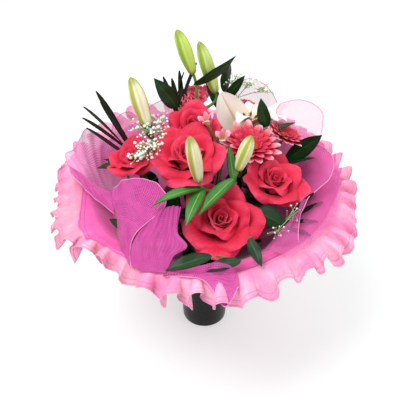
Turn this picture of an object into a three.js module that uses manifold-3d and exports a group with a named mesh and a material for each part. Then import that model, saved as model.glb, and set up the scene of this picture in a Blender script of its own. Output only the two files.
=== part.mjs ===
// A mixed flower bouquet that stands in a slim black vase: roses, lilies in bud and in bloom, gerberas, spray
// carnations, alstroemeria, gypsophila and dark foliage, fanned out inside a ruffled fabric collar and nets.
// Millimetres, +Z up, the front of the bouquet towards -Y, and the origin at the middle of the vase's foot.
import * as THREE from "three";
import { mergeVertices } from "three/addons/utils/BufferGeometryUtils.js";
import Module from "manifold-3d";

const wasm = await Module();
wasm.setup();

// ---------------------------------------------------------------- driving dimensions

const GAP = 0.3; // between pieces that touch
const VASE = { foot: 32, top: 37.5, height: 120, wall: 2.4, floor: 5, sides: 28 };
const FOAM = { top: 112, holeFloor: 60, holeRoom: 0.9, web: 0.8 };
const STEM_SPREAD = 0.2; // where a stem stands in the foam, as a share of where its head is
const MOST_SPREAD = 25.5; // no hole lies further out than this

// The collar's section from its neck, up the funnel to the crest, then out and down to the ruffled hem.
const COLLAR_SECTION = [
  [31.5, FOAM.top + GAP],
  [36, 127],
  [152, 244],
  [176, 251],
  [193, 245],
  [206, 236],
];
const CREST = 2 / 5; // share of the section at which the crest begins
const COLLAR = { thick: 0.8, columns: 84, waves: 28, ruffle: 8, lean: 6, liningGap: 0.6, liningColumns: 42 };
const NET_THICK = 0.7;
const PETAL_THICK = 0.8;
const LEAF_THICK = 0.8;
const GOLDEN_TURN = 2.39996; // radians between one petal and the next

// Roses: the middle of the face, the way it faces, the radius over the outer petals, and the petals in each
// ring round the rolled heart.
const ROSES = [
  { name: "rose_front", face: [20, -79, 255], facing: [0.08, -0.48, 0.87], radius: 49, rings: [5, 5] },
  { name: "rose_centre", face: [-23, -11, 306], facing: [-0.06, -0.2, 0.98], radius: 48, rings: [5, 5] },
  { name: "rose_right", face: [90, -21, 273], facing: [0.26, -0.24, 0.93], radius: 41, rings: [5, 5] },
  { name: "rose_left", face: [-97, -2, 295], facing: [-0.4, -0.05, 0.91], radius: 31, rings: [5] },
  { name: "rose_back", face: [-17, 58, 313], facing: [-0.06, 0.1, 0.99], radius: 32, rings: [5] },
];
const CARNATIONS = [
  { name: "carnation_back", face: [-12, 121, 304], facing: [-0.1, 0.25, 0.96], radius: 20, rings: [3, 5] },
  { name: "carnation_right", face: [57, 134, 280], facing: [0.15, 0.3, 0.94], radius: 17, rings: [3, 5] },
];
const GERBERAS = [
  { name: "gerbera_right", face: [58, 18, 290], facing: [0.1, -0.12, 0.98], radius: 34, rays: 12 },
  { name: "gerbera_far_right", face: [104, 48, 287], facing: [0.4, 0.05, 0.91], radius: 24, rays: 9 },
];

// Lilies. A stem ends at its fork, from which one short stalk runs to each bud, given by its foot and tip. A
// leaf is its tip, how wide it is, how far its middle arches up, how far it is rolled about its run, in degrees,
// and where it grows from when that isn't the fork.
const LILIES = [
  {
    name: "lily_front",
    fork: [37, -26, 266],
    facing: [0.1, -0.5, 0.85],
    buds: [
      { foot: [-7, -57, 290], tip: [-18, -64, 361], radius: 9.5 },
      { foot: [39, -42, 296], tip: [54, -38, 345], radius: 9 },
    ],
    leaves: [
      { from: [-1.8, -53.4, 278.6], tip: [-62, -76, 271], wide: 15, arch: 10 },
      { from: [-1.8, -53.4, 278.6], tip: [-22, -108, 264], wide: 17, arch: 12 },
      { from: [38, -37, 282], tip: [-8, -94, 268], wide: 17, arch: 10 },
      { tip: [29, -5, 309], wide: 12, arch: -2 },
    ],
  },
  {
    name: "lily_back",
    fork: [-17, 93, 298],
    facing: [0, 0.2, 1],
    buds: [
      { foot: [-16, 94, 352], tip: [-37, 98, 414], radius: 10 },
      { foot: [14, 100, 320], tip: [-9, 102, 396], radius: 10 },
    ],
    leaves: [
      { from: [-16.3, 93, 337], tip: [38, 84, 385], wide: 15, arch: -14, roll: -65 },
      { tip: [-68, 84, 351], wide: 22, arch: 8, roll: 50 },
    ],
  },
  {
    name: "lily_left",
    fork: [-68, 26, 296],
    facing: [-0.2, 0.2, 0.96],
    buds: [{ foot: [-73, 28, 312], tip: [-92, 35, 381], radius: 11 }],
    leaves: [{ tip: [-92, 62, 326], wide: 14, arch: 4 }],
  },
];

// The open lily: six tepals, each given by its turn about the flower, its length and its half width.
const OPEN_LILY = {
  face: [60, 82, 306],
  facing: [0.08, 0.12, 0.98],
  depth: 46,
  tepals: [
    { turn: 35, length: 62, half: 12 },
    { turn: 95, length: 46, half: 14 },
    { turn: 164, length: 46, half: 11 },
    { turn: 215, length: 50, half: 13 },
    { turn: 275, length: 38, half: 11 },
    { turn: 352, length: 58, half: 13 },
  ],
};

// Alstroemeria: two blooms on short stalks from one fork.
const ALSTROEMERIA = {
  fork: [22, 30, 284],
  facing: [0.1, 0.1, 0.98],
  blooms: [
    { name: "alstroemeria_centre", face: [22, 19, 307], facing: [0, -0.3, 0.93], radius: 10 },
    { name: "alstroemeria_back", face: [0, 30, 326], facing: [-0.3, 0, 0.95], radius: 11 },
  ],
};

// Leafy stems: where the stem ends, and its leaves as for the lilies.
const FOLIAGE = [
  {
    name: "foliage_back",
    top: [28, 126, 312],
    leaves: [
      { tip: [32, 116, 360], wide: 15, arch: 0, roll: 80 },
      { tip: [52, 104, 346], wide: 13, arch: 4, roll: 50 },
      { tip: [-2, 136, 343], wide: 14, arch: 6, roll: -50 },
    ],
  },
  {
    name: "foliage_right",
    top: [109, 37, 258],
    leaves: [
      { tip: [147, 16, 310], wide: 22, arch: -10, roll: 40 },
      { tip: [138, -2, 288], wide: 14, arch: 0 },
    ],
  },
  {
    name: "foliage_far_right",
    top: [82, 54, 300],
    leaves: [
      { tip: [73, 60, 338], wide: 13, arch: 2, roll: -70 },
      { tip: [90, 62, 328], wide: 11, arch: 2, roll: 60 },
    ],
  },
  {
    name: "foliage_front_right",
    top: [62, -64, 208],
    leaves: [
      { tip: [103, -60, 239], wide: 20, arch: 8 },
      { tip: [69, -112, 212], wide: 12, arch: 6 },
    ],
  },
  {
    name: "foliage_front_left",
    top: [-16, -66, 182],
    leaves: [
      { tip: [-48, -122, 222], wide: 20, arch: 8 },
      { tip: [-22, -130, 222], wide: 14, arch: 6 },
      { tip: [-50, -80, 218], wide: 15, arch: 8 },
    ],
  },
  {
    name: "foliage_left",
    top: [-94, -24, 254],
    leaves: [
      { tip: [-136, -16, 277], wide: 12, arch: -5 },
      { tip: [-130, -40, 266], wide: 12, arch: 2 },
    ],
  },
];

// Sprays of dried, almost black blades.
const DARK_BLADES = [
  {
    name: "dark_blades_left",
    top: [-112, 38, 284],
    tips: [[-156, 26, 346], [-149, 12, 333], [-139, 50, 353], [-133, 34, 338], [-124, 50, 332]],
  },
  {
    name: "dark_blades_back",
    top: [-42, 117, 303],
    tips: [[-29, 114, 345], [-12, 116, 358], [-46, 110, 338], [-58, 118, 336], [-36, 124, 342]],
  },
  {
    name: "dark_blades_right",
    top: [108, -56, 236],
    tips: [[137, -44, 278], [129, -56, 272], [118, -68, 266], [142, -38, 272]],
  },
];

// Gypsophila: where the stem forks, and the middle of each cloud of florets.
const GYPSOPHILA = [
  {
    name: "gypsophila_left",
    top: [-51, 37, 298],
    clouds: [[-58, 14, 316], [-44, 44, 322], [-78, -6, 314], [-84, 14, 320]],
  },
  {
    name: "gypsophila_back",
    top: [44, 124, 302],
    clouds: [[36, 126, 327], [62, 128, 322], [82, 122, 314]],
  },
  {
    name: "gypsophila_right",
    top: [86, -78, 230],
    clouds: [[110, -68, 252], [88, -94, 246]],
  },
];
const FLORETS = 3; // in each cloud

// ---------------------------------------------------------------- helpers

const Z = new THREE.Vector3(0, 0, 1);
const vec = (p) => new THREE.Vector3(...p);
const polar = (radius, angle, z = 0) => {
  return new THREE.Vector3(radius * Math.cos(angle), radius * Math.sin(angle), z);
};
const mix = (a, b, t) => a + (b - a) * t;

// Park-Miller numbers from a fixed seed, so every build gives the same plant.
function seeded(seed) {
  let state = seed;
  return (low = 0, high = 1) => {
    state = (state * 48271) % 2147483647;
    return mix(low, high, state / 2147483647);
  };
}

// A closed geometry as a solid that can be joined and cut.
function solid(geometry) {
  const bare = geometry.index ? geometry.toNonIndexed() : geometry.clone();
  bare.deleteAttribute("normal");
  bare.deleteAttribute("uv");
  const merged = mergeVertices(bare, 1e-4);
  const vertProperties = new Float32Array(merged.attributes.position.array);
  const triVerts = new Uint32Array(merged.index.array);
  return new wasm.Manifold(new wasm.Mesh({ numProp: 3, vertProperties, triVerts }));
}

// Joins solids, drops loose scraps and gives the body back as a geometry.
function joined(solids) {
  const whole = solids.length > 1 ? wasm.Manifold.union(solids) : solids[0];
  const bodies = whole.decompose().sort((a, b) => b.volume() - a.volume());
  const mesh = bodies[0].getMesh();
  const geometry = new THREE.BufferGeometry();
  geometry.setAttribute("position", new THREE.BufferAttribute(mesh.vertProperties, 3));
  geometry.setIndex(new THREE.BufferAttribute(mesh.triVerts, 1));
  return geometry;
}

// A thin wall over a grid: point(u, v) is its middle surface, u and v run from 0 to 1, and both faces are
// split alike. A closed wall joins its last column to its first.
function wall(point, { columns, rows, thick, closed = false, rowAt = (t) => t }) {
  const across = closed ? columns : columns + 1;
  const middle = [];
  const normals = [];
  const step = 1e-3;
  for (let j = 0; j <= rows; j++) {
    for (let i = 0; i < across; i++) {
      const u = i / columns;
      const v = rowAt(j / rows);
      const here = [closed ? u - step : Math.max(u - step, 0), closed ? u + step : Math.min(u + step, 1)];
      const along = [Math.max(v - step, 0), Math.min(v + step, 1)];
      const du = point(here[1], v).sub(point(here[0], v));
      const dv = point(u, along[1]).sub(point(u, along[0]));
      middle.push(point(u, v));
      normals.push(du.cross(dv).normalize());
    }
  }
  const count = middle.length;
  const positions = new Float32Array(count * 6);
  middle.forEach((p, k) => {
    p.clone().addScaledVector(normals[k], thick / 2).toArray(positions, k * 3);
    p.clone().addScaledVector(normals[k], -thick / 2).toArray(positions, (count + k) * 3);
  });
  const at = (i, j) => j * across + (i % across);
  const index = [];
  const quad = (a, b, c, d) => index.push(a, b, c, a, c, d);
  for (let j = 0; j < rows; j++) {
    for (let i = 0; i < columns; i++) {
      const [a, b, c, d] = [at(i, j), at(i + 1, j), at(i + 1, j + 1), at(i, j + 1)];
      index.push(a, b, c, a, c, d);
      index.push(a + count, c + count, b + count, a + count, d + count, c + count);
    }
  }
  for (let i = 0; i < columns; i++) {
    quad(at(i, 0) + count, at(i + 1, 0) + count, at(i + 1, 0), at(i, 0));
    quad(at(i, rows), at(i + 1, rows), at(i + 1, rows) + count, at(i, rows) + count);
  }
  for (let j = 0; j < rows && !closed; j++) {
    quad(at(0, j), at(0, j + 1), at(0, j + 1) + count, at(0, j) + count);
    quad(at(columns, j) + count, at(columns, j + 1) + count, at(columns, j + 1), at(columns, j));
  }
  const geometry = new THREE.BufferGeometry();
  geometry.setAttribute("position", new THREE.BufferAttribute(positions, 3));
  geometry.setIndex(index);
  return geometry;
}

// A petal, leaf or net: a width carried along a spine. The blade is cupped by an angle (radians, towards side
// x spine), its sides end short of the tip by drop, lift(across, along) raises it off its own surface, and
// rise(point) bends it clear of what it lies on.
function blade({ spine, side, half, cup = () => 0, drop = 0, lift = () => 0, rise = (p) => p, ...grid }) {
  const sideways = side.clone().normalize();
  const point = (u, v) => {
    const across = 2 * u - 1;
    const along = v * (1 - drop * across * across);
    const tangent = spine.getTangent(along);
    const widthways = sideways.clone().addScaledVector(tangent, -sideways.dot(tangent)).normalize();
    const inwards = widthways.clone().cross(tangent);
    const width = half(along);
    const bend = Math.max(cup(along), 1e-4);
    return rise(spine
      .getPoint(along)
      .addScaledVector(widthways, (width * Math.sin(bend * across)) / bend)
      .addScaledVector(inwards, (width * (1 - Math.cos(bend * across))) / bend + lift(across, along)));
  };
  return wall(point, { columns: 2, rows: 3, thick: PETAL_THICK, ...grid });
}

const bend3 = (a, b, c) => new THREE.QuadraticBezierCurve3(a, b, c);

// A stem's route: straight up out of its hole for the first step, then one curve to the head.
class StemRoute extends THREE.Curve {
  constructor(foot, mouth, head, facing, steps) {
    super();
    this.steps = steps;
    this.foot = foot;
    const reach = mouth.distanceTo(head);
    const rise = mouth.clone().addScaledVector(Z, reach * 0.25);
    this.curve = new THREE.CubicBezierCurve3(mouth, rise, head.clone().addScaledVector(facing, -reach * 0.3), head);
  }
  getPoint(t) {
    const first = 1 / this.steps;
    return t < first
      ? this.foot.clone().lerp(this.curve.v0, t / first)
      : this.curve.getPoint((t - first) / (1 - first));
  }
  getPointAt(t) {
    return this.getPoint(t);
  }
  getTangentAt(t) {
    return t < 1 / this.steps ? Z.clone() : this.curve.getTangent((t * this.steps - 1) / (this.steps - 1));
  }
}

function rod(path, radius, { sides = 5, steps = 4 } = {}) {
  const corners = [];
  for (let k = 0; k < sides; k++) {
    const turn = (2 * Math.PI * k) / sides;
    corners.push(new THREE.Vector2(radius * Math.cos(turn), radius * Math.sin(turn)));
  }
  const shape = new THREE.Shape(corners);
  return new THREE.ExtrudeGeometry(shape, { steps, extrudePath: path, bevelEnabled: false });
}

const lathe = (outline, sides) => new THREE.LatheGeometry(
  outline.map(([r, z]) => new THREE.Vector2(r, z)),
  sides,
).rotateX(Math.PI / 2);

const finish = (color, roughness = 0.6) => new THREE.MeshStandardMaterial({ color, roughness, metalness: 0 });

const bouquet = new THREE.Group();

function place(name, geometry, material) {
  const mesh = new THREE.Mesh(geometry, material);
  mesh.name = name;
  bouquet.add(mesh);
  return mesh;
}

// Sets a head that was made about +Z with its foot at the origin: foot in place, turned to where it faces.
function set(mesh, foot, facing) {
  mesh.position.copy(foot);
  mesh.quaternion.setFromUnitVectors(Z, facing);
}

// ---------------------------------------------------------------- stems and the foam they stand in

const STEM_STEPS = 4;
const stems = []; // every stem is planned before any is made, so that their holes can be spread in the foam

// Plans a stem that ends GAP below a head's foot; grow(route) gives what else is fused to it.
function planStem(name, { foot, facing, radius, colour = 0x55803f, grow = () => [] }) {
  const spot = new THREE.Vector3(foot.x, foot.y, 0).multiplyScalar(STEM_SPREAD).clampLength(0, MOST_SPREAD);
  stems.push({ name, foot, facing, radius, colour, grow, spot });
}

// Pushes the holes apart until the foam between them holds, and keeps them inside the collar's neck.
function spreadHoles() {
  for (let round = 0; round < 400; round++) {
    for (const a of stems) {
      for (const b of stems) {
        const between = b.spot.clone().sub(a.spot);
        const short = a.radius + b.radius + 2 * FOAM.holeRoom + FOAM.web - between.length();
        if (a === b || short <= 0) continue;
        between.setLength(short / 2);
        a.spot.sub(between);
        b.spot.add(between);
      }
      a.spot.clampLength(0, MOST_SPREAD);
    }
  }
}

function makeStems() {
  spreadHoles();
  for (const { name, foot, facing, radius, colour, grow, spot } of stems) {
    const bottom = spot.clone().setZ(FOAM.holeFloor + GAP);
    const mouth = spot.clone().setZ(FOAM.top + 3);
    const top = foot.clone().addScaledVector(facing, -GAP);
    const route = new StemRoute(bottom, mouth, top, facing, STEM_STEPS);
    const rods = [solid(rod(route, radius, { steps: STEM_STEPS })), ...grow(route)];
    place(name, joined(rods), finish(colour, 0.7));
  }
}

// ---------------------------------------------------------------- vase

function makeVase() {
  const inner = VASE.foot - VASE.wall;
  const outline = [
    [0, 0],
    [VASE.foot - 1.5, 0],
    [VASE.foot, 1.5],
    [VASE.top, VASE.height - 1],
    [VASE.top - 0.6, VASE.height],
    [VASE.top - VASE.wall, VASE.height],
    [inner, VASE.floor],
    [0, VASE.floor],
  ];
  place("vase", lathe(outline, VASE.sides), finish(0x111013, 0.35));
}

const vaseInside = (z) => mix(VASE.foot, VASE.top, (z - VASE.floor) / (VASE.height - VASE.floor)) - VASE.wall;

function makeFoam() {
  const low = VASE.floor + GAP;
  const room = 0.5;
  const block = solid(lathe(
    [[0, low], [vaseInside(low) - room, low], [vaseInside(FOAM.top) - room, FOAM.top], [0, FOAM.top]],
    VASE.sides / 2,
  ));
  const depth = FOAM.top - FOAM.holeFloor + 2;
  const bores = stems.map(({ spot, radius }) => {
    const bore = new THREE.CylinderGeometry(radius + FOAM.holeRoom, radius + FOAM.holeRoom, depth, 6);
    bore.rotateX(Math.PI / 2);
    return solid(bore.translate(spot.x, spot.y, FOAM.holeFloor + depth / 2));
  });
  place("foam", joined([block.subtract(wasm.Manifold.union(bores))]), finish(0x3f6b45, 0.95));
}

// ---------------------------------------------------------------- collar

// A point of the section and the way it runs there: straight from each listed point to the next.
function section(v) {
  const steps = COLLAR_SECTION.length - 1;
  const k = Math.min(Math.floor(v * steps), steps - 1);
  const [a, b] = [COLLAR_SECTION[k], COLLAR_SECTION[k + 1]].map((p) => new THREE.Vector2(...p));
  return { at: a.clone().lerp(b, v * steps - k), slope: b.clone().sub(a).normalize() };
}

// How far the fabric has turned into ruffles: none in the funnel, all of it at the hem.
const ruffled = (v) => THREE.MathUtils.smoothstep(v, CREST, 1);

// The ruffle's phase and depth wander round the hem, so no two waves are alike, and the whole sheet sags a little.
const wander = (angle) => 0.9 * Math.sin(2 * angle + 0.6) + 0.7 * Math.sin(5 * angle + 2.1);
const depthAt = (angle) => 1 + 0.35 * Math.sin(3 * angle + 1) + 0.25 * Math.sin(7 * angle);
const sagAt = (angle) => 3 * Math.sin(3 * angle + 0.4) + 2 * Math.sin(7 * angle);

function collarPoint(u, v, raise = 0) {
  const angle = 2 * Math.PI * u;
  const share = ruffled(v);
  const wave = COLLAR.waves * angle + wander(angle);
  const { at, slope } = section(v);
  const [neck, crest] = [COLLAR_SECTION[1][0], COLLAR_SECTION[2][0]];
  const sag = sagAt(angle) * THREE.MathUtils.clamp((at.x - neck) / (crest - neck), 0, 1);
  const dip = Math.exp(-(((angle - 1.49 * Math.PI) / 0.09) ** 2)); // the fold at the front
  const out = at.x + sag + share * (COLLAR.ruffle * depthAt(angle) * Math.cos(wave) * 0.6 - 14 * dip);
  const up = at.y + sag / 2 + share * COLLAR.lean * depthAt(angle) * Math.sin(wave);
  return polar(out - raise * slope.y, angle, up + raise * slope.x);
}

function makeCollar() {
  const { thick, columns, liningColumns, liningGap } = COLLAR;
  const rows = COLLAR_SECTION.length - 1;
  place("collar_outer", wall(collarPoint, { columns, rows, thick, closed: true }), finish(0xf3a3c4, 0.85));
  const liningRows = CREST * rows;
  const lining = (u, v) => collarPoint(u, v, thick + liningGap);
  const rowAt = (t) => t * CREST;
  const cloth = wall(lining, { columns: liningColumns, rows: liningRows, thick, closed: true, rowAt });
  place("collar_lining", cloth, finish(0xd94fb0, 0.8));
}

// ---------------------------------------------------------------- nets

// How high a net's middle has to lie to clear the lining, or the brim past it, at a point's place.
function collarTop(x, y) {
  const u = Math.atan2(y, x) / (2 * Math.PI) + (y < 0 ? 1 : 0);
  const radius = Math.hypot(x, y);
  let [low, high] = [0, 1];
  for (let k = 0; k < 24; k++) {
    const middle = (low + high) / 2;
    const p = collarPoint(u, middle);
    if (Math.hypot(p.x, p.y) < radius) low = middle;
    else high = middle;
  }
  const { slope } = section(low);
  const above = COLLAR.thick * 1.5 + COLLAR.liningGap + NET_THICK / 2 + 2 * GAP;
  return collarPoint(u, low).z + above / Math.max(slope.x, 0.5);
}

// Bends what reaches out over the lining clear of it.
function clearOfLining(p, more = 1) {
  const outside = Math.hypot(p.x, p.y) > COLLAR_SECTION[1][0];
  return outside ? p.setZ(Math.max(p.z, collarTop(p.x, p.y) + more)) : p;
}

// Each net is pinched at its root beside the collar's lining and fans out to a free edge.
const NETS = [
  {
    name: "net_left_roll",
    spine: [[-40, -26, 150], [-98, -52, 205], [-124, -68, 262]],
    side: [0.12, 0.8, 0.54],
    half: (v) => 6 + 74 * v ** 0.85,
    cup: (v) => 0.5 + 1.35 * v,
    drop: 0.16,
    columns: 8,
  },
  {
    name: "net_left",
    spine: [[-47, 6, 137], [-120, 12, 225], [-160, 14, 302]],
    side: [0, 1, 0],
    half: (v) => 5 + 52 * v ** 0.8,
    cup: () => 0.5,
    drop: 0.12,
  },
  {
    name: "net_right",
    spine: [[47, -9, 137], [134, -26, 220], [160, -30, 292]],
    side: [-0.18, -0.98, 0],
    half: (v) => 5 + 66 * v ** 0.8,
    cup: () => 0.5,
    drop: 0.12,
  },
  {
    name: "net_back_right",
    spine: [[36, 26, 135], [108, 66, 225], [146, 72, 306]],
    side: [0.5, -0.8, 0],
    half: (v) => 4 + 38 * v ** 0.7,
    cup: () => 0.5,
    drop: 0.16,
  },
  {
    name: "net_back",
    spine: [[14, 43, 142], [60, 150, 226], [68, 164, 308]],
    side: [1, -0.3, 0],
    half: (v) => 4 + 34 * v ** 0.7,
    cup: () => 0.6,
    drop: 0.2,
  },
  {
    name: "net_back_left",
    spine: [[-28, 36, 142], [-78, 96, 225], [-92, 100, 305]],
    side: [-0.7, -0.6, 0],
    half: (v) => 4 + 38 * v ** 0.7,
    cup: () => 0.5,
    drop: 0.2,
  },
  {
    name: "net_front",
    spine: [[2, -124, 217], [2, -160, 272], [4, -192, 254]],
    side: [-1, 0, 0],
    half: (v) => 18 + 24 * v ** 0.8,
    cup: () => 0.3,
    drop: 0.1,
    clear: 0.5,
  },
];

function makeNets() {
  for (const net of NETS) {
    const [a, b, c] = net.spine.map(vec);
    const rise = (p) => p.setZ(Math.max(p.z, collarTop(p.x, p.y) + (net.clear ?? 0)));
    const spine = bend3(a, b, c);
    const sheet = blade({ columns: 6, rows: 4, ...net, spine, side: vec(net.side), rise, thick: NET_THICK });
    place(net.name, sheet, finish(0xd85cc0, 0.7));
  }
}

// ---------------------------------------------------------------- roses

// One ring of petals about +Z. Each petal stands inside its neighbour on one side and outside on the other.
function petalRing({ count, turn, root, open, reach, wide, cup, frill = 0, ...grid }) {
  const early = Math.max(open - 0.5, 0.08);
  const petals = [];
  for (let k = 0; k < count; k++) {
    const angle = turn + (2 * Math.PI * k) / count;
    const at = (share, lean) => {
      const run = share * reach;
      return polar(root + run * Math.sin(lean), angle, 1 + run * Math.cos(lean));
    };
    petals.push(solid(blade({
      spine: bend3(at(0, 0), at(0.55, early), at(1, open)),
      side: polar(1, angle - Math.PI / 2),
      half: (v) => wide * Math.sin(Math.PI * (0.05 + 0.68 * v)),
      cup: () => cup,
      drop: 0.14,
      lift: (across, along) => across * (0.25 + along) * reach * 0.15 + frill * along * Math.cos(2 * Math.PI * across),
      ...grid,
    })));
  }
  return petals;
}

// The heart is one long petal rolled round itself: tight and closed in at the middle, loose and scalloped outside.
function roseHeart(radius) {
  const turns = 2.7;
  const point = (u, v) => {
    const scallop = 0.05 * Math.cos(2 * Math.PI * 3 * turns * u) * u;
    const out = radius * (0.03 + 0.19 * u) * (1 + (0.7 * u - 0.3) * v * v);
    return polar(out, 2 * Math.PI * turns * u, radius * (0.04 + 0.1 * u + (0.7 - 0.22 * u + scallop) * v));
  };
  return solid(wall(point, { columns: 17, rows: 2, thick: PETAL_THICK }));
}

function roseHead({ radius, rings }) {
  const base = lathe([[0, 0], [radius * 0.34, 0], [radius * 0.34, radius * 0.05], [0, radius * 0.05]], 6);
  const parts = [solid(base), roseHeart(radius)];
  rings.forEach((count, k) => {
    const age = (k + 1) / rings.length;
    parts.push(...petalRing({
      count,
      turn: k * GOLDEN_TURN,
      root: radius * mix(0.24, 0.28, age),
      open: mix(0.3, 1.22, age),
      reach: radius * mix(0.7, 0.78, age),
      wide: radius * mix(0.42, 0.54, age),
      cup: mix(1.4, 1.1, age),
      rows: 2,
    }));
  });
  return joined(parts);
}

function makeRoses() {
  for (const rose of ROSES) {
    const facing = vec(rose.facing).normalize();
    const foot = vec(rose.face).addScaledVector(facing, -0.8 * rose.radius);
    set(place(rose.name, roseHead(rose), finish(0xde2650, 0.55)), foot, facing);
    planStem(`${rose.name}_stem`, { foot, facing, radius: 2.5 });
  }
}

// ---------------------------------------------------------------- carnations

function carnationHead({ radius, rings }) {
  const core = lathe([[0, 0], [radius * 0.2, 0], [radius * 0.34, radius * 0.3], [0, radius * 0.8]], 6);
  const parts = [solid(core)];
  rings.forEach((count, k) => {
    const age = k / (rings.length - 1);
    parts.push(...petalRing({
      count,
      turn: k * GOLDEN_TURN,
      root: radius * mix(0.18, 0.24, age),
      open: mix(0.3, 1.25, age),
      reach: radius * mix(0.9, 0.8, age),
      wide: radius * mix(0.45, 0.6, age),
      cup: mix(1.2, 0.9, age),
      rows: 1,
      columns: 3,
      frill: radius * 0.08,
    }));
  });
  return joined(parts);
}

function makeCarnations() {
  for (const bloom of CARNATIONS) {
    const facing = vec(bloom.facing).normalize();
    const foot = vec(bloom.face).addScaledVector(facing, -bloom.radius);
    set(place(bloom.name, carnationHead(bloom), finish(0xd8264e, 0.7)), foot, facing);
    planStem(`${bloom.name}_stem`, { foot, facing, radius: 1.8, colour: 0x5d8350 });
  }
}

// ---------------------------------------------------------------- gerberas

const EYE_SHARE = 0.3; // the eye's radius as a share of the flower's

// Two rings of ray petals on a shallow cup, with a pit in the middle for the eye.
function gerberaRays({ radius, rays }) {
  const eye = radius * EYE_SHARE;
  const cupOutline = [[0, -4], [2.6, -4], [eye + 3, -0.4], [eye + 3, 0.6], [0, 0.6]];
  const parts = [solid(lathe(cupOutline, 10))];
  for (const [ring, rise, share] of [[0, 0.2, 1], [1, 0.46, 0.84]]) {
    for (let k = 0; k < rays; k++) {
      const turn = ((k + ring / 2) * 2 * Math.PI) / rays;
      const length = radius * share - eye;
      const z = (part) => ring * 0.9 + length * part * (rise + 0.2 * part);
      const at = (part) => polar(eye + 0.6 + length * part, turn, z(part));
      parts.push(solid(blade({
        spine: bend3(at(0), at(0.55), at(1)),
        side: polar(1, turn - Math.PI / 2),
        half: (v) => radius * 0.12 * Math.sin(Math.PI * (0.12 + 0.72 * v)),
        columns: 1,
        rows: 2,
        thick: 0.7,
      })));
    }
  }
  return joined(parts);
}

// The eye is a low dome whose disc florets stand up as a spiral relief.
function gerberaEye(radius) {
  const dome = new THREE.SphereGeometry(radius, 12, 3, 0, 2 * Math.PI, 0, Math.PI / 2);
  const base = new THREE.CircleGeometry(radius, 12).rotateX(Math.PI / 2);
  const spots = dome.attributes.position;
  for (let k = 0; k < spots.count; k++) {
    const p = new THREE.Vector3().fromBufferAttribute(spots, k);
    const turn = Math.atan2(p.z, p.x);
    const raise = p.y > 0.1 ? 1 + 0.12 * Math.cos(6 * turn + p.y * 2) : 1;
    spots.setXYZ(k, p.x, p.y * 0.45 * raise, p.z);
  }
  const both = [dome, base].map((g) => g.toNonIndexed());
  const positions = both.flatMap((g) => [...g.attributes.position.array]);
  const geometry = new THREE.BufferGeometry();
  geometry.setAttribute("position", new THREE.Float32BufferAttribute(positions, 3));
  return joined([solid(geometry.rotateX(Math.PI / 2))]);
}

function makeGerberas() {
  for (const bloom of GERBERAS) {
    const facing = vec(bloom.facing).normalize();
    const foot = vec(bloom.face);
    const eyeRadius = bloom.radius * EYE_SHARE - 0.6;
    set(place(bloom.name, gerberaRays(bloom), finish(0xe8476f, 0.6)), foot, facing);
    const eyeFoot = foot.clone().addScaledVector(facing, 0.6 + GAP);
    set(place(`${bloom.name}_eye`, gerberaEye(eyeRadius), finish(0x6b2a1c, 0.9)), eyeFoot, facing);
    const under = foot.clone().addScaledVector(facing, -4);
    planStem(`${bloom.name}_stem`, { foot: under, facing, radius: 2.2, colour: 0x6a9446 });
  }
}

// ---------------------------------------------------------------- lilies

// A bud is three-sided, with a groove between its tepals.
function budSolid({ foot, tip, radius }) {
  const length = foot.distanceTo(tip);
  const outline = [[0, 0], [0.42, 0.03], [0.84, 0.26], [1, 0.58], [0.62, 0.88], [0, 1]];
  const bud = lathe(outline.map(([r, z]) => [r * radius, z * length]), 12);
  const spots = bud.attributes.position;
  for (let k = 0; k < spots.count; k++) {
    const [x, y] = [spots.getX(k), spots.getY(k)];
    const swell = 1 + 0.09 * Math.cos(3 * Math.atan2(y, x)) - 0.06 * Math.cos(6 * Math.atan2(y, x));
    spots.setXY(k, x * swell, y * swell);
  }
  return solid(bud);
}

// One leaf from a stem to its tip, folded a little along its rib.
function leafSolid(stemEnd, { from, tip, wide, arch, roll = 0 }) {
  const foot = from ? vec(from) : stemEnd;
  const end = vec(tip);
  const run = end.clone().sub(foot);
  const side = run.clone().cross(Z).normalize();
  side.applyAxisAngle(run.clone().normalize(), THREE.MathUtils.degToRad(roll));
  const middle = foot.clone().lerp(end, 0.5).addScaledVector(side.clone().cross(run).normalize(), arch);
  return solid(blade({
    spine: bend3(foot, middle, end),
    side,
    half: (v) => (wide / 2) * (0.08 + 0.94 * Math.sin(Math.PI * v ** 0.8) ** 0.8),
    lift: (across, along) => wide * 0.12 * Math.abs(across) * Math.sin(Math.PI * along),
    rise: clearOfLining,
    rows: 3,
    thick: LEAF_THICK,
  }));
}

function stalk(from, to, facing, radius) {
  const middle = to.clone().addScaledVector(facing, -from.distanceTo(to) * 0.45);
  return solid(rod(bend3(from, middle, to), radius, { sides: 5, steps: 3 }));
}

function makeLilies() {
  for (const lily of LILIES) {
    const fork = vec(lily.fork);
    const facing = vec(lily.facing).normalize();
    const below = fork.clone().addScaledVector(facing, -2);
    const stalks = lily.buds.map((bud, k) => {
      const [foot, tip] = [vec(bud.foot), vec(bud.tip)];
      const points = tip.clone().sub(foot).normalize();
      const shape = joined([budSolid({ ...bud, foot, tip })]);
      set(place(`${lily.name}_bud_${k + 1}`, shape, finish(0xc9d67a, 0.5)), foot, points);
      return stalk(below, foot.clone().addScaledVector(points, -GAP), points, 2);
    });
    const grow = () => [...stalks, ...lily.leaves.map((leaf) => leafSolid(below, leaf))];
    planStem(`${lily.name}_stem`, { foot: fork, facing, radius: 3, grow });
  }
}

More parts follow.
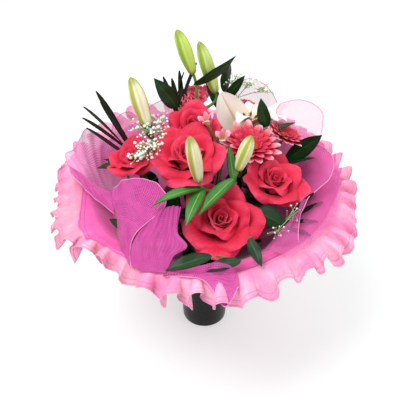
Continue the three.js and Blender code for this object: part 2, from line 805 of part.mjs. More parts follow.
function makeOpenLily() {
  const { face, facing, depth, tepals } = OPEN_LILY;
  const up = vec(facing).normalize();
  const foot = vec(face).addScaledVector(up, -depth);
  const throat = solid(lathe([[0, 0], [3.4, 0], [5.5, 6], [0, 8]], 6));
  const shapes = tepals.map(({ turn, length, half }, k) => {
    const angle = THREE.MathUtils.degToRad(turn);
    const inner = k % 2 ? 0 : 1;
    const middle = polar(4 + length * 0.16, angle, depth * (1.2 + 0.25 * inner));
    const end = polar(length, angle, depth * (0.9 + 0.1 * inner));
    const spine = bend3(polar(4.6 - 1.6 * inner, angle, 4 + inner), middle, end);
    return solid(blade({
      spine,
      side: polar(1, angle - Math.PI / 2),
      half: (v) => half * (0.1 + 0.95 * Math.sin(Math.PI * v ** 0.9) ** 0.8),
      cup: () => 0.4,
      rows: 3,
    }));
  });
  set(place("lily_open", joined([throat, ...shapes]), finish(0xf7dfe2, 0.5)), foot, up);
  planStem("lily_open_stem", { foot, facing: up, radius: 2.8 });
}

// Six anthered stamens and one longer style stand in a tuft that fits the open lily's throat.
function makeStamens() {
  const { face, facing, depth } = OPEN_LILY;
  const up = vec(facing).normalize();
  const foot = vec(face).addScaledVector(up, 8 + GAP - depth);
  const parts = [solid(lathe([[0, 0], [2.6, 0], [2.6, 3], [0, 3]], 6))];
  for (let k = 0; k < 6; k++) {
    const angle = (k * Math.PI) / 3 + 0.3;
    const tip = polar(13, angle, depth + 2);
    parts.push(solid(rod(new THREE.LineCurve3(polar(1.7, angle, 2), tip), 0.6, { sides: 3, steps: 1 })));
    parts.push(solid(lathe([[0, -5], [1.7, 0], [0, 5]], 4).translate(tip.x, tip.y, tip.z)));
  }
  set(place("lily_open_stamens", joined(parts), finish(0x8a4a1e, 0.8)), foot, up);
}

// ---------------------------------------------------------------- alstroemeria

function alstroemeriaHead({ radius }) {
  const parts = [solid(lathe([[0, 0], [1.6, 0], [3.6, 2.6], [0, 2.6]], 6))];
  const both = { count: 3, columns: 1, rows: 2 };
  const outer = { turn: 0.5, root: 2.6, open: 0.85, reach: radius * 1.3, wide: radius * 0.36, cup: 0.9 };
  const inner = { turn: 1.55, root: 2.2, open: 0.35, reach: radius * 1.4, wide: radius * 0.24, cup: 0.7 };
  parts.push(...petalRing({ ...both, ...outer }), ...petalRing({ ...both, ...inner }));
  return joined(parts);
}

function makeAlstroemeria() {
  const fork = vec(ALSTROEMERIA.fork);
  const facing = vec(ALSTROEMERIA.facing).normalize();
  const below = fork.clone().addScaledVector(facing, -2);
  const stalks = ALSTROEMERIA.blooms.map((bloom) => {
    const way = vec(bloom.facing).normalize();
    const foot = vec(bloom.face).addScaledVector(way, -bloom.radius);
    set(place(bloom.name, alstroemeriaHead(bloom), finish(0xe9a7c0, 0.6)), foot, way);
    return stalk(below, foot.clone().addScaledVector(way, -GAP), way, 1.2);
  });
  planStem("alstroemeria_stem", { foot: fork, facing, radius: 1.6, colour: 0x6a9446, grow: () => stalks });
}

// ---------------------------------------------------------------- foliage and filler

const outwards = (top) => new THREE.Vector3(top.x, top.y, 130).normalize();

function makeFoliage() {
  for (const { name, top, leaves } of FOLIAGE) {
    const foot = vec(top);
    const grow = (route) => leaves.map((leaf, k) => leafSolid(route.getPoint(0.985 - 0.05 * k), leaf));
    planStem(name, { foot, facing: outwards(foot), radius: 1.7, colour: 0x24462a, grow });
  }
}

function makeDarkBlades() {
  for (const { name, top, tips } of DARK_BLADES) {
    const foot = vec(top);
    const grow = (route) => tips.map((tip, k) => {
      const [start, end] = [route.getPoint(0.98 - 0.05 * k), vec(tip)];
      const spine = bend3(start, start.clone().lerp(end, 0.5).setZ(mix(start.z, end.z, 0.6)), end);
      const side = end.clone().sub(start).cross(Z);
      const half = (v) => 1.2 + 1.4 * Math.sin(Math.PI * v);
      return solid(blade({ spine, side, half, rise: clearOfLining, columns: 1, rows: 2, thick: LEAF_THICK }));
    });
    planStem(name, { foot, facing: outwards(foot), radius: 1.6, colour: 0x201f1a, grow });
  }
}

// A floret is a small three-sided cup that opens away from the thread it stands on.
function floret(from, to, radius) {
  const [length, thread] = [from.distanceTo(to), 0.5];
  const outline = [[0, 0], [thread, 0.6], [thread, length - radius], [radius, length], [0, length - 0.6]];
  const turn = new THREE.Quaternion().setFromUnitVectors(Z, to.clone().sub(from).normalize());
  return solid(lathe(outline, 3).applyQuaternion(turn).translate(from.x, from.y, from.z));
}

function makeGypsophila() {
  const random = seeded(41);
  for (const { name, top, clouds } of GYPSOPHILA) {
    const foot = vec(top);
    const grow = () => clouds.flatMap((cloud) => {
      const start = foot.clone().setZ(foot.z - 2);
      const middle = vec(cloud);
      const parts = [solid(rod(new THREE.LineCurve3(start, middle), 0.7, { sides: 3, steps: 1 }))];
      for (let k = 0; k < FLORETS; k++) {
        const at = middle.clone().add(polar(random(6, 11), k * GOLDEN_TURN, random(1, 7)));
        parts.push(floret(start.clone().lerp(middle, mix(0.5, 0.92, k / FLORETS)), at, random(2.6, 3.4)));
      }
      return parts;
    });
    planStem(name, { foot, facing: outwards(foot), radius: 1.3, colour: 0xf4f3ea, grow });
  }
}

// ---------------------------------------------------------------- assembly

makeVase();
makeCollar();
makeNets();
makeRoses();
makeCarnations();
makeGerberas();
makeLilies();
makeOpenLily();
makeStamens();
makeAlstroemeria();
makeFoliage();
makeDarkBlades();
makeGypsophila();
makeStems();
makeFoam();

export default bouquet;
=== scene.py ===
# The looks of a mixed flower bouquet in a slim black vase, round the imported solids. Metres, +Z up, front
# towards -Y. Lengths below are millimetres unless said; MM carries them to metres.
import math

import bpy
import numpy as np
from mathutils import Matrix, Vector


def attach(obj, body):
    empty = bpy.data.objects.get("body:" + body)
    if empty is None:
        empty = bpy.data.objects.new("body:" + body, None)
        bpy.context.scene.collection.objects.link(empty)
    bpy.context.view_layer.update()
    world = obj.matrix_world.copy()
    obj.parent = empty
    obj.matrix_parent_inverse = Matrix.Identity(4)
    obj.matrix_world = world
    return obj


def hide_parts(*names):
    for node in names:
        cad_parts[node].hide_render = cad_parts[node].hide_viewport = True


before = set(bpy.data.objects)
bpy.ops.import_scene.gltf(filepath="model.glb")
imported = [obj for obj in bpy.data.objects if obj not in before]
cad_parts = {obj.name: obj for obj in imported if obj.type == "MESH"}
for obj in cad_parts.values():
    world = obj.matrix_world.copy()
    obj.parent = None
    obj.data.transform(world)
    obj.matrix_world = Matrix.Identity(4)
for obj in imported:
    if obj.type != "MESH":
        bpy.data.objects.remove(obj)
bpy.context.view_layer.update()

MM = 0.001
TURN = 2 * math.pi
GOLDEN_TURN = 2.39996  # radians from one petal to the next
UP = np.array([0.0, 0.0, 1.0])

# ------------------------------------------------------------------ camera

CAMERA_AT = (0.0, -0.709, 0.791)
CAMERA_AIM = (-0.0066, -0.0097, 0.2246)
bpy.ops.object.camera_add(location=CAMERA_AT)
camera = bpy.context.object
camera.name = "camera"
camera.rotation_euler = (Vector(CAMERA_AIM) - Vector(CAMERA_AT)).to_track_quat("-Z", "Y").to_euler()
camera.data.lens = 61.74
bpy.context.scene.camera = camera

# ------------------------------------------------------------------ dimensions shared with the solids

GAP = 0.3  # between a head and its stem, and between a stem and the floor of its hole
VASE = {"foot": 32, "top": 37.5, "height": 120, "wall": 2.4, "floor": 5}  # foot and top are outer radii
FOAM = {"top": 112, "hole_floor": 60, "hole_room": 0.9, "web": 0.8}  # web is the foam between two holes
STEM_SPREAD = 0.2  # how far out a stem stands in the foam, as a share of how far out its head is
MOST_SPREAD = 25.5  # and at most
SPREADING_ROUNDS = 400  # of pushing apart the stems that stand too close in the foam

# Radius and height along the collar, from the vase's mouth over the crest to the hem.
COLLAR_SECTION = np.array([(31.5, 112.3), (36, 127), (152, 244), (176, 251), (193, 245), (206, 236)], float)
CREST = 2 / 5  # where along that line the funnel ends and the ruffled brim starts
COLLAR_THICK = 0.8
COLLAR_ROOM = 2.75  # from the middle of the collar to the top of its lining, with room to spare
COLLAR_WAVES = 42  # finer than the solid's, which has too few columns for them
RUFFLE = {"out": 6.0, "up": 9.5, "lap": 4.0}  # lap is how far a ruffle folds over towards the next
FRONT_DIP = {"at": 1.49 * math.pi, "wide": 0.09, "deep": 14}  # where the hem is pulled in, at the front
# Where the lining ends: its radius at angles round the collar, in degrees from +X.
LINING_REACH = [
    (0, 182), (15, 192), (60, 172), (120, 168), (180, 160), (200, 169), (219, 184), (242, 178),
    (255, 173), (268, 166), (281, 172), (292, 169), (307, 164), (324, 163), (344, 170), (360, 182),
]
# How far out the hem stands from where the section ends, at angles round the collar: nearer, or just there.
HEM_REACH = [
    (0, -19), (12, -23), (26, -24), (34, -10), (60, 0), (130, 0), (148, -9), (170, -12),
    (190, -9), (200, 0), (213, 0), (222, -14), (230, -28), (238, -14), (250, -11), (262, -4),
    (270, 0), (290, -1), (298, -9), (312, -7), (320, 0), (334, -3), (348, -12), (360, -19),
]
LINING_GAP = 0.6

# Each bloom: its name, the middle of its face, the way it faces, and its radius.
ROSES = [
    ("rose_front", (20, -79, 255), (0.08, -0.48, 0.87), 49),
    ("rose_centre", (-23, -11, 306), (-0.06, -0.2, 0.98), 48),
    ("rose_right", (90, -21, 273), (0.26, -0.24, 0.93), 41),
    ("rose_left", (-97, -2, 295), (-0.4, -0.05, 0.91), 31),
    ("rose_back", (-17, 58, 313), (-0.06, 0.1, 0.99), 32),
]
ROSE_DEPTH = 0.8  # from a rose's face to its foot, as a share of its radius
CARNATIONS = [
    ("carnation_back", (-12, 121, 304), (-0.1, 0.25, 0.96), 20),
    ("carnation_right", (57, 134, 280), (0.15, 0.3, 0.94), 17),
]
CARNATION_PETALS = 30  # in each
# The blooms that open wider than their solids or turn: how much wider, and where they face once open.
OPENS = {
    "rose_left": (1.0, (-0.3, -0.25, 0.92)),
    "rose_back": (1.05, (-0.06, -0.5, 0.86)),
    "carnation_back": (1.75, (-0.5, -0.15, 0.86)),
    "carnation_right": (1.5, (0.15, 0.1, 0.98)),
}
GERBERAS = [
    ("gerbera_right", (58, 18, 290), (0.1, -0.12, 0.98), 34),
    ("gerbera_far_right", (104, 48, 287), (0.4, 0.05, 0.91), 24),
]
EYE_SHARE = 0.3  # a gerbera's eye, as a share of its radius
EYE_FLORETS = 150
# The rings of rays, the outermost first: how many rays, how far out they reach and half how wide they are as
# shares of the radius, how steeply they rise, and their tone.
GERBERA_RINGS = [(15, 1.24, 0.19, 0.12, 0.0), (13, 1.04, 0.17, 0.3, 0.5), (16, 0.72, 0.12, 0.45, 1.0),
                 (16, 0.46, 0.08, 0.8, 1.0)]

# Each lily: where it forks and the way it faces there, its buds as foot, tip, radius and tone (1 is the
# greenest), and its leaves. A leaf starts at the fork, at the end of a thin stalk (held), or on a bud's
# stalk (from).
LILIES = [
    {
        "name": "lily_front",
        "fork": (37, -26, 266),
        "facing": (0.1, -0.5, 0.85),
        "buds": [((-7, -57, 290), (-18, -64, 361), 9.5, 0.2), ((39, -42, 296), (54, -38, 345), 9, 0.4)],
        "leaves": [
            {"from": (-1.8, -53.4, 278.6), "tip": (-61, -98, 287), "wide": 15, "arch": 10},
            {"from": (-1.8, -53.4, 278.6), "tip": (-22, -108, 264), "wide": 17, "arch": 12},
            {"from": (38, -37, 282), "tip": (-8, -94, 268), "wide": 17, "arch": 10},
            {"tip": (29, -5, 309), "wide": 12, "arch": -2},
        ],
    },
    {
        "name": "lily_back",
        "fork": (-17, 93, 298),
        "facing": (0, 0.2, 1),
        "buds": [((-16, 94, 352), (-37, 98, 414), 10, 1.0), ((14, 100, 320), (-9, 102, 396), 10, 0.8)],
        "leaves": [
            {"from": (-16.3, 93, 337), "tip": (38, 84, 385), "wide": 15, "arch": -14, "roll": -65},
            {"held": (-37, 75, 313), "tip": (-66, 66, 362), "wide": 22, "arch": 5, "roll": -78},
        ],
    },
    {
        "name": "lily_left",
        "fork": (-68, 26, 296),
        "facing": (-0.2, 0.2, 0.96),
        "buds": [((-73, 28, 312), (-92, 35, 381), 11, 0.1)],
        "leaves": [{"tip": (-92, 62, 326), "wide": 14, "arch": 4}],
    },
]

OPEN_LILY = {"face": (60, 82, 306), "facing": (0.08, 0.12, 0.98), "depth": 46}
# An anther's outline, as radius and height.
ANTHER = [(0, -5), (0.9, -4.2), (1.5, -2), (1.6, 0), (1.5, 2), (0.9, 4.2), (0, 5)]
# Each tepal: the way it points in degrees, how far it reaches, its half width, how high its tip stands as a
# share of the lily's depth, and its twist in radians.
TEPALS = [(14, 56, 9, 1.28, 0.6), (75, 30, 12, 0.85, 0), (172, 42, 20, 1.42, -1.17), (232, 28, 12, 0.75, 0),
          (322, 44, 14, 0.98, 0), (352, 50, 15, 0.8, 0)]

ALSTROEMERIA = {"fork": (22, 30, 284), "facing": (0.1, 0.1, 0.98)}
# The two rings of three petals: how far round they start, how far out at the root, their lean at the top, and
# their length and half width as shares of the radius.
ALSTROEMERIA_RINGS = [(0.5, 2.6, 0.95, 1.35, 0.5), (1.55, 2.2, 0.45, 1.45, 0.32)]
ALSTROEMERIA_BLOOMS = [
    ("alstroemeria_centre", (22, 19, 307), (0, -0.3, 0.93), 10),
    ("alstroemeria_back", (0, 30, 326), (-0.3, 0, 0.95), 11),
]

# Each stem of foliage: where its top is, and its leaves. Each starts a little lower on the stem than the one
# before, or at the end of a thin stalk (held).
FOLIAGE = [
    ("foliage_back", (28, 126, 312), [
        {"tip": (32, 112, 362), "wide": 19, "arch": 2, "roll": 20},
        {"tip": (52, 104, 346), "wide": 13, "arch": 4, "roll": -84},
        {"tip": (-2, 136, 343), "wide": 14, "arch": 6, "roll": -50},
    ]),
    ("foliage_right", (109, 37, 258), [
        {"tip": (147, 16, 310), "wide": 22, "arch": -10, "roll": 79},
        {"tip": (138, -2, 288), "wide": 14, "arch": 0},
    ]),
    ("foliage_far_right", (82, 54, 300), [
        {"tip": (71, 60, 337), "wide": 17, "arch": 3, "roll": -60},
        {"tip": (118, 58, 302), "wide": 9, "arch": 4, "roll": 20},
    ]),
    ("foliage_front_right", (62, -64, 208), [
        {"held": (62, -56, 246), "tip": (102, -68, 226), "wide": 27, "arch": 5, "roll": 20},
        {"held": (50, -136, 272), "tip": (63, -166, 257), "wide": 13, "arch": 3, "roll": 20},
    ]),
    ("foliage_front_left", (-16, -66, 182), [
        {"held": (8, -158, 265), "tip": (-43, -173, 257), "wide": 16, "arch": 5, "roll": -20},
        {"held": (40, -165, 265), "tip": (-2, -175, 257), "wide": 15, "arch": 3, "roll": -10},
        {"tip": (-22, -130, 222), "wide": 14, "arch": 6},
        {"tip": (-50, -80, 218), "wide": 15, "arch": 8},
    ]),
    ("foliage_left", (-94, -24, 254), [
        {"held": (-104, -10, 281), "tip": (-136, -16, 280), "wide": 12, "arch": 1},
        {"held": (-102, -6, 276), "tip": (-128, -2, 284), "wide": 10, "arch": 1},
        {"held": (-47, -66, 266), "tip": (-89, -38, 267), "wide": 17, "arch": 2, "roll": -44},
        {"held": (-78, -86, 254), "tip": (-113, -48, 255), "wide": 17, "arch": 2, "roll": -34},
        {"held": (-82, -108, 256), "tip": (-117, -72, 244), "wide": 12, "arch": 2, "roll": -42},
    ]),
]
# How many more leaves these stems carry low down, under the blooms. Dark, they also stand in for the shade
# between the stems.
UNDERGROWTH = {"foliage_front_left": 7, "foliage_front_right": 7, "foliage_left": 6, "foliage_right": 6}
# Each dried stem: where its top is, about half the width of its blades, and their tips.
DARK_BLADES = [
    ("dark_blades_left", (-112, 38, 284), 5.5,
     [(-152, 25, 344), (-154, 20, 331), (-139, 50, 352), (-134, 44, 340), (-148, 8, 324)]),
    ("dark_blades_back", (-42, 117, 303), 3.6,
     [(-29, 114, 345), (-12, 116, 358), (-46, 110, 338), (-58, 118, 336), (-36, 124, 342)]),
    ("dark_blades_right", (108, -56, 236), 3.6,
     [(134, -47, 267), (148, -43, 249), (136, -83, 251), (124, -110, 253)]),
]
# Each spray: where its stem ends, how many florets a cloud has and their size, and the middles of its clouds.
GYPSOPHILA = [
    ("gypsophila_left", (-51, 37, 298), 26, 1, [
        (-62, -8, 309), (-83, 20, 314), (-71, 32, 316), (-60, 20, 310),
        (-70, 0, 305), (-77, -12, 303), (-82, -22, 302), (-58, 38, 316),
    ]),
    ("gypsophila_back", (44, 124, 302), 26, 1, [(36, 126, 327), (62, 128, 322), (82, 122, 314)]),
    ("gypsophila_right", (86, -78, 230), 12, 0.6, [(110, -68, 252), (88, -94, 246)]),
]

# Nets. Each has one or more sheets, and each sheet is lofted through its stations, which run one after
# another across it; a station lists points from the net's root to its free edge. Flat is the cut size in
# metres: the mean width and length of the sheets as built, side by side.
NET_PITCH = 2.1  # from thread to thread
NET_FOLDS = 0.6  # how far its soft folds stand up
NET_ROOM = 0.5  # above the collar's lining
HEM_RADIUS = 0.55  # of the bound edge
NETS = {
    "net_left_roll": {"flat": (0.125, 0.12), "sheets": [
        [
            [(-96, -134, 252), (-106, -92, 238), (-115, -52, 225),
             (-114, -62, 255), (-115, -50, 263), (-113, -42, 269)],
            [(-91, -146, 254), (-97, -122, 258), (-101, -98, 262),
             (-104, -72, 265), (-104, -52, 269), (-101, -38, 277)],
            [(-87, -156, 254), (-90, -130, 258), (-90, -110, 266),
             (-88, -84, 272), (-85, -58, 277), (-81, -40, 283)],
            [(-84, -162, 254), (-86, -136, 257), (-84, -118, 267),
             (-74, -94, 274), (-64, -68, 278), (-60, -48, 282)],
            [(-82, -164, 254), (-85, -138, 256), (-79, -124, 267),
             (-63, -106, 272), (-48, -88, 276), (-46, -68, 279)],
        ],
        [
            [(-82, -162, 254), (-84, -141, 257), (-78, -128, 267), (-68, -114, 272), (-56, -97, 275)],
            [(-70, -170, 253), (-72, -149, 257), (-67, -132, 265), (-56, -114, 270), (-47, -92, 279)],
            [(-57, -173, 254), (-56, -151, 255), (-52, -136, 264), (-44, -116, 269), (-38, -88, 279)],
            [(-42, -174, 255), (-35, -149, 255), (-20, -136, 259), (-31, -118, 265), (-28, -86, 276)],
        ],
        [
            [(-110, -44, 262), (-112, -60, 260), (-110, -74, 254)],
            [(-131, -32, 263), (-129, -44, 261), (-126, -54, 252)],
            [(-145, -20, 264), (-143, -30, 262), (-141, -38, 252)],
            [(-160, -8, 268), (-158, -16, 267), (-157, -22, 259)],
            [(-176, 4, 270), (-174, -2, 271), (-172, -8, 266)],
        ],
    ]},
    "net_left": {"flat": (0.095, 0.075), "sheets": [
        [
            [(-96, 50, 214), (-112, 48, 239), (-120, 35, 272)],
            [(-114, 30, 219), (-130, 35, 248), (-137, 36, 292)],
            [(-122, 10, 222), (-140, 24, 251), (-153, 31, 308)],
            [(-128, -4, 228), (-148, 13, 256), (-167, 14, 290)],
            [(-138, -14, 240), (-156, 0, 264), (-178, 6, 286)],
            [(-142, -30, 246), (-158, -14, 262), (-176, 2, 270)],
        ],
    ]},
    "net_right": {"flat": (0.195, 0.12), "sheets": [
        [
            [(71, -106, 226), (88, -126, 246), (109, -122, 253)],
            [(83, -109, 250), (95, -120, 258), (109, -111, 257)],
            [(95, -99, 260), (103, -98, 258), (114, -80, 251)],
            [(109, -79, 262), (113, -76, 258), (119, -66, 256)],
            [(118, -52, 258), (122, -52, 259), (128, -49, 262)],
            [(120, -14, 240), (130, -26, 250), (142, -39, 270)],
            [(124, 22, 230), (140, -4, 254), (156, -26, 275)],
            [(127, 46, 238), (145, 22, 260), (164, 4, 276)],
            [(125, 64, 246), (143, 48, 266), (162, 20, 280)],
            [(120, 72, 252), (136, 58, 270), (150, 34, 282)],
        ],
        [
            [(75, -133, 252), (87, -145, 256), (97, -151, 257)],
            [(96, -54, 209), (108, -116, 253), (124, -128, 258)],
            [(109, -24, 210), (126, -86, 252), (148, -97, 258)],
            [(121, -7, 220), (143, -50, 251), (164, -57, 258)],
            [(136, -5, 235), (155, -23, 253), (173, -18, 258)],
            [(149, 1, 249), (162, 7, 255), (173, 18, 258)],
        ],
    ]},
    "net_back_right": {"flat": (0.085, 0.135), "sheets": [
        [
            [(60, 40, 190), (84, 56, 240), (94, 68, 286)],
            [(62, 46, 190), (92, 66, 248), (96, 80, 312)],
            [(66, 46, 190), (108, 68, 250), (122, 86, 320)],
            [(70, 44, 190), (120, 64, 246), (148, 82, 313)],
            [(72, 40, 190), (126, 58, 242), (157, 70, 300)],
            [(74, 34, 190), (126, 48, 236), (151, 56, 277)],
            [(74, 28, 190), (120, 40, 230), (141, 45, 260)],
        ],
    ]},
    "net_back": {"flat": (0.067, 0.15), "sheets": [
        [
            [(22, 66, 190), (28, 106, 246), (32, 126, 306)],
            [(26, 68, 190), (40, 120, 252), (46, 136, 318)],
            [(32, 68, 190), (56, 128, 254), (66, 142, 320)],
            [(38, 66, 190), (72, 124, 248), (86, 134, 312)],
            [(42, 62, 190), (82, 114, 240), (102, 120, 292)],
        ],
    ]},
    "net_back_left": {"flat": (0.09, 0.14), "sheets": [
        [
            [(-46, 30, 190), (-84, 58, 236), (-126, 44, 278)],
            [(-44, 36, 190), (-86, 76, 242), (-120, 60, 302)],
            [(-40, 42, 190), (-78, 86, 246), (-104, 74, 308)],
            [(-34, 46, 190), (-68, 94, 248), (-90, 84, 294)],
            [(-28, 50, 190), (-54, 100, 244), (-72, 96, 306)],
            [(-22, 52, 190), (-42, 104, 240), (-52, 106, 308)],
            [(-18, 54, 190), (-30, 104, 236), (-36, 106, 290)],
        ],
    ]},
    "net_front": {"flat": (0.09, 0.027), "sheets": [
        [
            [(-45, -180, 259), (-46, -178, 254), (-45, -179, 253)],
            [(-23, -178, 263), (-23, -177, 255), (-21, -181, 254)],
            [(-4, -173, 265), (-3, -179, 255), (-1, -186, 253)],
            [(12, -170, 267), (12, -180, 255), (12, -200, 245)],
            [(26, -175, 268), (27, -181, 254), (23, -212, 241)],
            [(35, -178, 260), (37, -179, 254), (37, -190, 250)],
        ],
    ]},
}

# The bound sides of each sheet that isn't bound on all its free sides.
HEMMED = {
    ("net_left_roll", 0): ("top", "last"),
    ("net_left_roll", 1): (),
    ("net_left_roll", 2): ("top",),
    ("net_left", 0): ("top",),
    ("net_front", 0): ("top",),
    ("net_right", 0): ("top",),
    ("net_right", 1): (),
}

# ------------------------------------------------------------------ numbers


def mix(a, b, t):
    """The way from a to b, by a share t."""
    return a + (b - a) * t


def unit(v):
    v = np.asarray(v, float)
    return v / np.linalg.norm(v, axis=-1, keepdims=True)


def polar(radius, angle, z=0.0):
    """The point at a radius and an angle round +Z."""
    radius, angle, z = np.broadcast_arrays(np.asarray(radius, float), angle, z)
    return np.stack([radius * np.cos(angle), radius * np.sin(angle), z], -1)


def ease(x, low, high):
    """0 below low, 1 above high, smooth between."""
    t = np.clip((x - low) / (high - low), 0, 1)
    return t * t * (3 - 2 * t)


def spun(v, axis, angle):
    """v turned about axis by angle, in radians."""
    return np.array(Matrix.Rotation(angle, 3, Vector(axis)) @ Vector(v))


# ------------------------------------------------------------------ shaping


def surface(name, point, columns, rows, closed=False, tone=0.5):
    """A grid primitive whose points are carried to point(u, v), in millimetres. A closed one has its first
    and last columns joined, and its ends too where they run to a point. Tone is kept for its colour."""
    bpy.ops.mesh.primitive_grid_add(x_subdivisions=columns, y_subdivisions=rows, size=1)
    piece = bpy.context.object
    piece.name = name
    mesh = piece.data
    flat = np.empty(len(mesh.vertices) * 3)
    mesh.vertices.foreach_get("co", flat)
    i = np.rint((flat[0::3] + 0.5) * columns).astype(int)
    j = np.rint((flat[1::3] + 0.5) * rows).astype(int)
    v, u = np.meshgrid(np.linspace(0, 1, rows + 1), np.linspace(0, 1, columns + 1), indexing="ij")
    spots = point(u, v) * MM
    mesh.vertices.foreach_set("co", spots[j, i].ravel())
    mesh.update()
    if closed:
        bpy.ops.object.mode_set(mode="EDIT")
        bpy.ops.mesh.select_all(action="SELECT")
        bpy.ops.mesh.remove_doubles(threshold=1e-6)
        bpy.ops.mesh.normals_make_consistent(inside=False)
        bpy.ops.object.mode_set(mode="OBJECT")
    set_tone(piece, tone)
    return piece


def set_tone(piece, tone):
    mesh = piece.data
    attribute = mesh.attributes.new("tone", "FLOAT", "POINT")
    attribute.data.foreach_set("value", np.full(len(mesh.vertices), tone, np.float32))


def count_threads(piece, across, along):
    """Makes a sheet's UV map count its threads, so that one weave fits every sheet."""
    layer = piece.data.uv_layers["UVMap"].data
    spots = np.empty(len(layer) * 2)
    layer.foreach_get("uv", spots)
    layer.foreach_set("uv", (spots.reshape(-1, 2) * (across, along)).ravel())


def thicken(piece, thick):
    """Gives a sheet its thickness, half to each side."""
    bpy.context.view_layer.objects.active = piece
    wall = piece.modifiers.new("thickness", "SOLIDIFY")
    wall.thickness = thick * MM
    wall.offset = 0
    bpy.ops.object.modifier_apply(modifier=wall.name)
    return piece


def joined(name, parts):
    """Joins parts into the first of them, under a name."""
    bpy.ops.object.select_all(action="DESELECT")
    for part in parts:
        part.select_set(True)
    whole = parts[0]
    bpy.context.view_layer.objects.active = whole
    if len(parts) > 1:
        bpy.ops.object.join()
    whole.name = name
    whole.data.name = name
    return whole


def smooth(piece, degrees=50):
    bpy.ops.object.select_all(action="DESELECT")
    piece.select_set(True)
    bpy.context.view_layer.objects.active = piece
    bpy.ops.object.shade_smooth_by_angle(angle=math.radians(degrees))
    return piece


def set_down(piece, foot, facing):
    """Turns a head made about +Z to where it faces, and puts its foot in place."""
    turn = Vector((0, 0, 1)).rotation_difference(Vector(facing).normalized()).to_matrix().to_4x4()
    piece.data.transform(Matrix.Translation(Vector(foot) * MM) @ turn)
    return piece


def coat(piece, material):
    piece.data.materials.clear()
    piece.data.materials.append(material)
    return piece


def settle(piece, nodes, degrees=50):
    """Finishes a piece: smooth, on its body, in place of its solids."""
    smooth(piece, degrees)
    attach(piece, "root")
    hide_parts(*nodes)
    return piece


def copies(source, places):
    """Copies a shape to each place, every copy with a mesh of its own, and removes the first one."""
    made = []
    for place in places:
        copy = source.copy()
        copy.data = source.data.copy()
        copy.data.transform(place)
        bpy.context.collection.objects.link(copy)
        made.append(copy)
    bpy.data.objects.remove(source)
    return made


def bend3(a, b, c):
    """A curve from a to c that is drawn towards b: its points, and the way it runs."""
    a, b, c = (np.asarray(p, float) for p in (a, b, c))

    def at(t):
        t = np.asarray(t, float)[..., None]
        return (1 - t) ** 2 * a + 2 * t * (1 - t) * b + t * t * c

    def run(t):
        t = np.asarray(t, float)[..., None]
        return unit(2 * (1 - t) * (b - a) + 2 * t * (c - b))

    return at, run


def knot_weights(t, count):
    """How much each of count knots weighs at each t on a smooth curve through them all."""
    t = np.asarray(t, float) * (count - 1)
    k = np.clip(t.astype(int), 0, count - 2)
    f = t - k
    shares = ((-f + 2 * f ** 2 - f ** 3) / 2, (2 - 5 * f ** 2 + 3 * f ** 3) / 2,
              (f + 4 * f ** 2 - 3 * f ** 3) / 2, (-f ** 2 + f ** 3) / 2)
    weights = np.zeros((len(t), count))
    for step, share in zip((-1, 0, 1, 2), shares):
        np.add.at(weights, (np.arange(len(t)), np.clip(k + step, 0, count - 1)), share)
    return weights


def loft(stations, folds, seed, rise):
    """A sheet through stations of knots, with soft folds that grow towards its free edge."""
    knots = np.array(stations, float)
    own = np.random.default_rng(seed)
    ranges = ((1.5, 7), (0.3, 2.5), (0, TURN), (0.3, 1))
    waves = [[own.uniform(*limits) for limits in ranges] for _ in range(6)]

    def point(u, v):
        along, across = knot_weights(v[:, 0], knots.shape[1]), knot_weights(u[0], knots.shape[0])
        spots = np.einsum("vn,um,mnk->vuk", along, across, knots)
        normal = unit(np.cross(np.gradient(spots, axis=1), np.gradient(spots, axis=0)) + 1e-9)
        height = sum(size * np.sin(TURN * (a * u + b * v) + c) for a, b, c, size in waves)
        return rise(spots + normal * (folds * height * (0.25 + 0.75 * v))[..., None])

    return point


def blade(spine, side, half, cup=lambda t: 0 * t, drop=0.0, lift=lambda s, t: 0 * s, rise=lambda p: p):
    """A width carried along a spine, cupped by an angle towards side x spine, as the solids have it."""
    at, run = spine
    side = unit(side)

    def point(u, v):
        across = 2 * u - 1
        along = v * (1 - drop * across * across)
        tangent = run(along)
        wide = unit(side - (tangent @ side)[..., None] * tangent)
        inward = np.cross(wide, tangent)
        width = half(along)
        bend = np.maximum(cup(along), 1e-4)
        flat = (width * np.sin(bend * across) / bend)[..., None] * wide
        bowl = (width * (1 - np.cos(bend * across)) / bend + lift(across, along))[..., None] * inward
        return rise(at(along) + flat + bowl)

    return point


def tube(name, path, radius, columns=10):
    """A round stem along a path of points, closed at both ends."""
    path = np.asarray(path, float)
    radius = np.broadcast_to(np.asarray(radius, float), len(path)).copy()
    run = unit(np.gradient(path, axis=0))
    side = np.zeros_like(path)
    last = unit(np.cross(run[0], [0.3, 0.9, 0.2]))
    for k in range(len(path)):
        last = unit(last - run[k] * (last @ run[k]))
        side[k] = last
    other = np.cross(run, side)
    path = np.concatenate([path[:1], path, path[-1:]])
    side = np.concatenate([side[:1], side, side[-1:]])
    other = np.concatenate([other[:1], other, other[-1:]])
    radius = np.concatenate([[0], radius, [0]])

    def point(u, v):
        k = np.rint(v * (len(path) - 1)).astype(int)
        angle = TURN * u
        return path[k] + radius[k][..., None] * (
            np.cos(angle)[..., None] * side[k] + np.sin(angle)[..., None] * other[k]
        )

    return surface(name, point, columns, len(path) - 1, closed=True)


def turned(name, outline, columns, tone=0.5):
    """A shape turned about +Z from its outline of (radius, height), closed on the axis."""
    outline = np.asarray(outline, float)

    def point(u, v):
        k = np.rint(v * (len(outline) - 1)).astype(int)
        return polar(outline[k, 0], TURN * u, outline[k, 1])

    return surface(name, point, columns, len(outline) - 1, closed=True, tone=tone)


# ------------------------------------------------------------------ materials

COLOURS = {"data_type": "RGBA"}  # a Mix of colours: its factor is socket 0, its colours 6 and 7, its output 2
EASED = {"interpolation_type": "SMOOTHSTEP"}


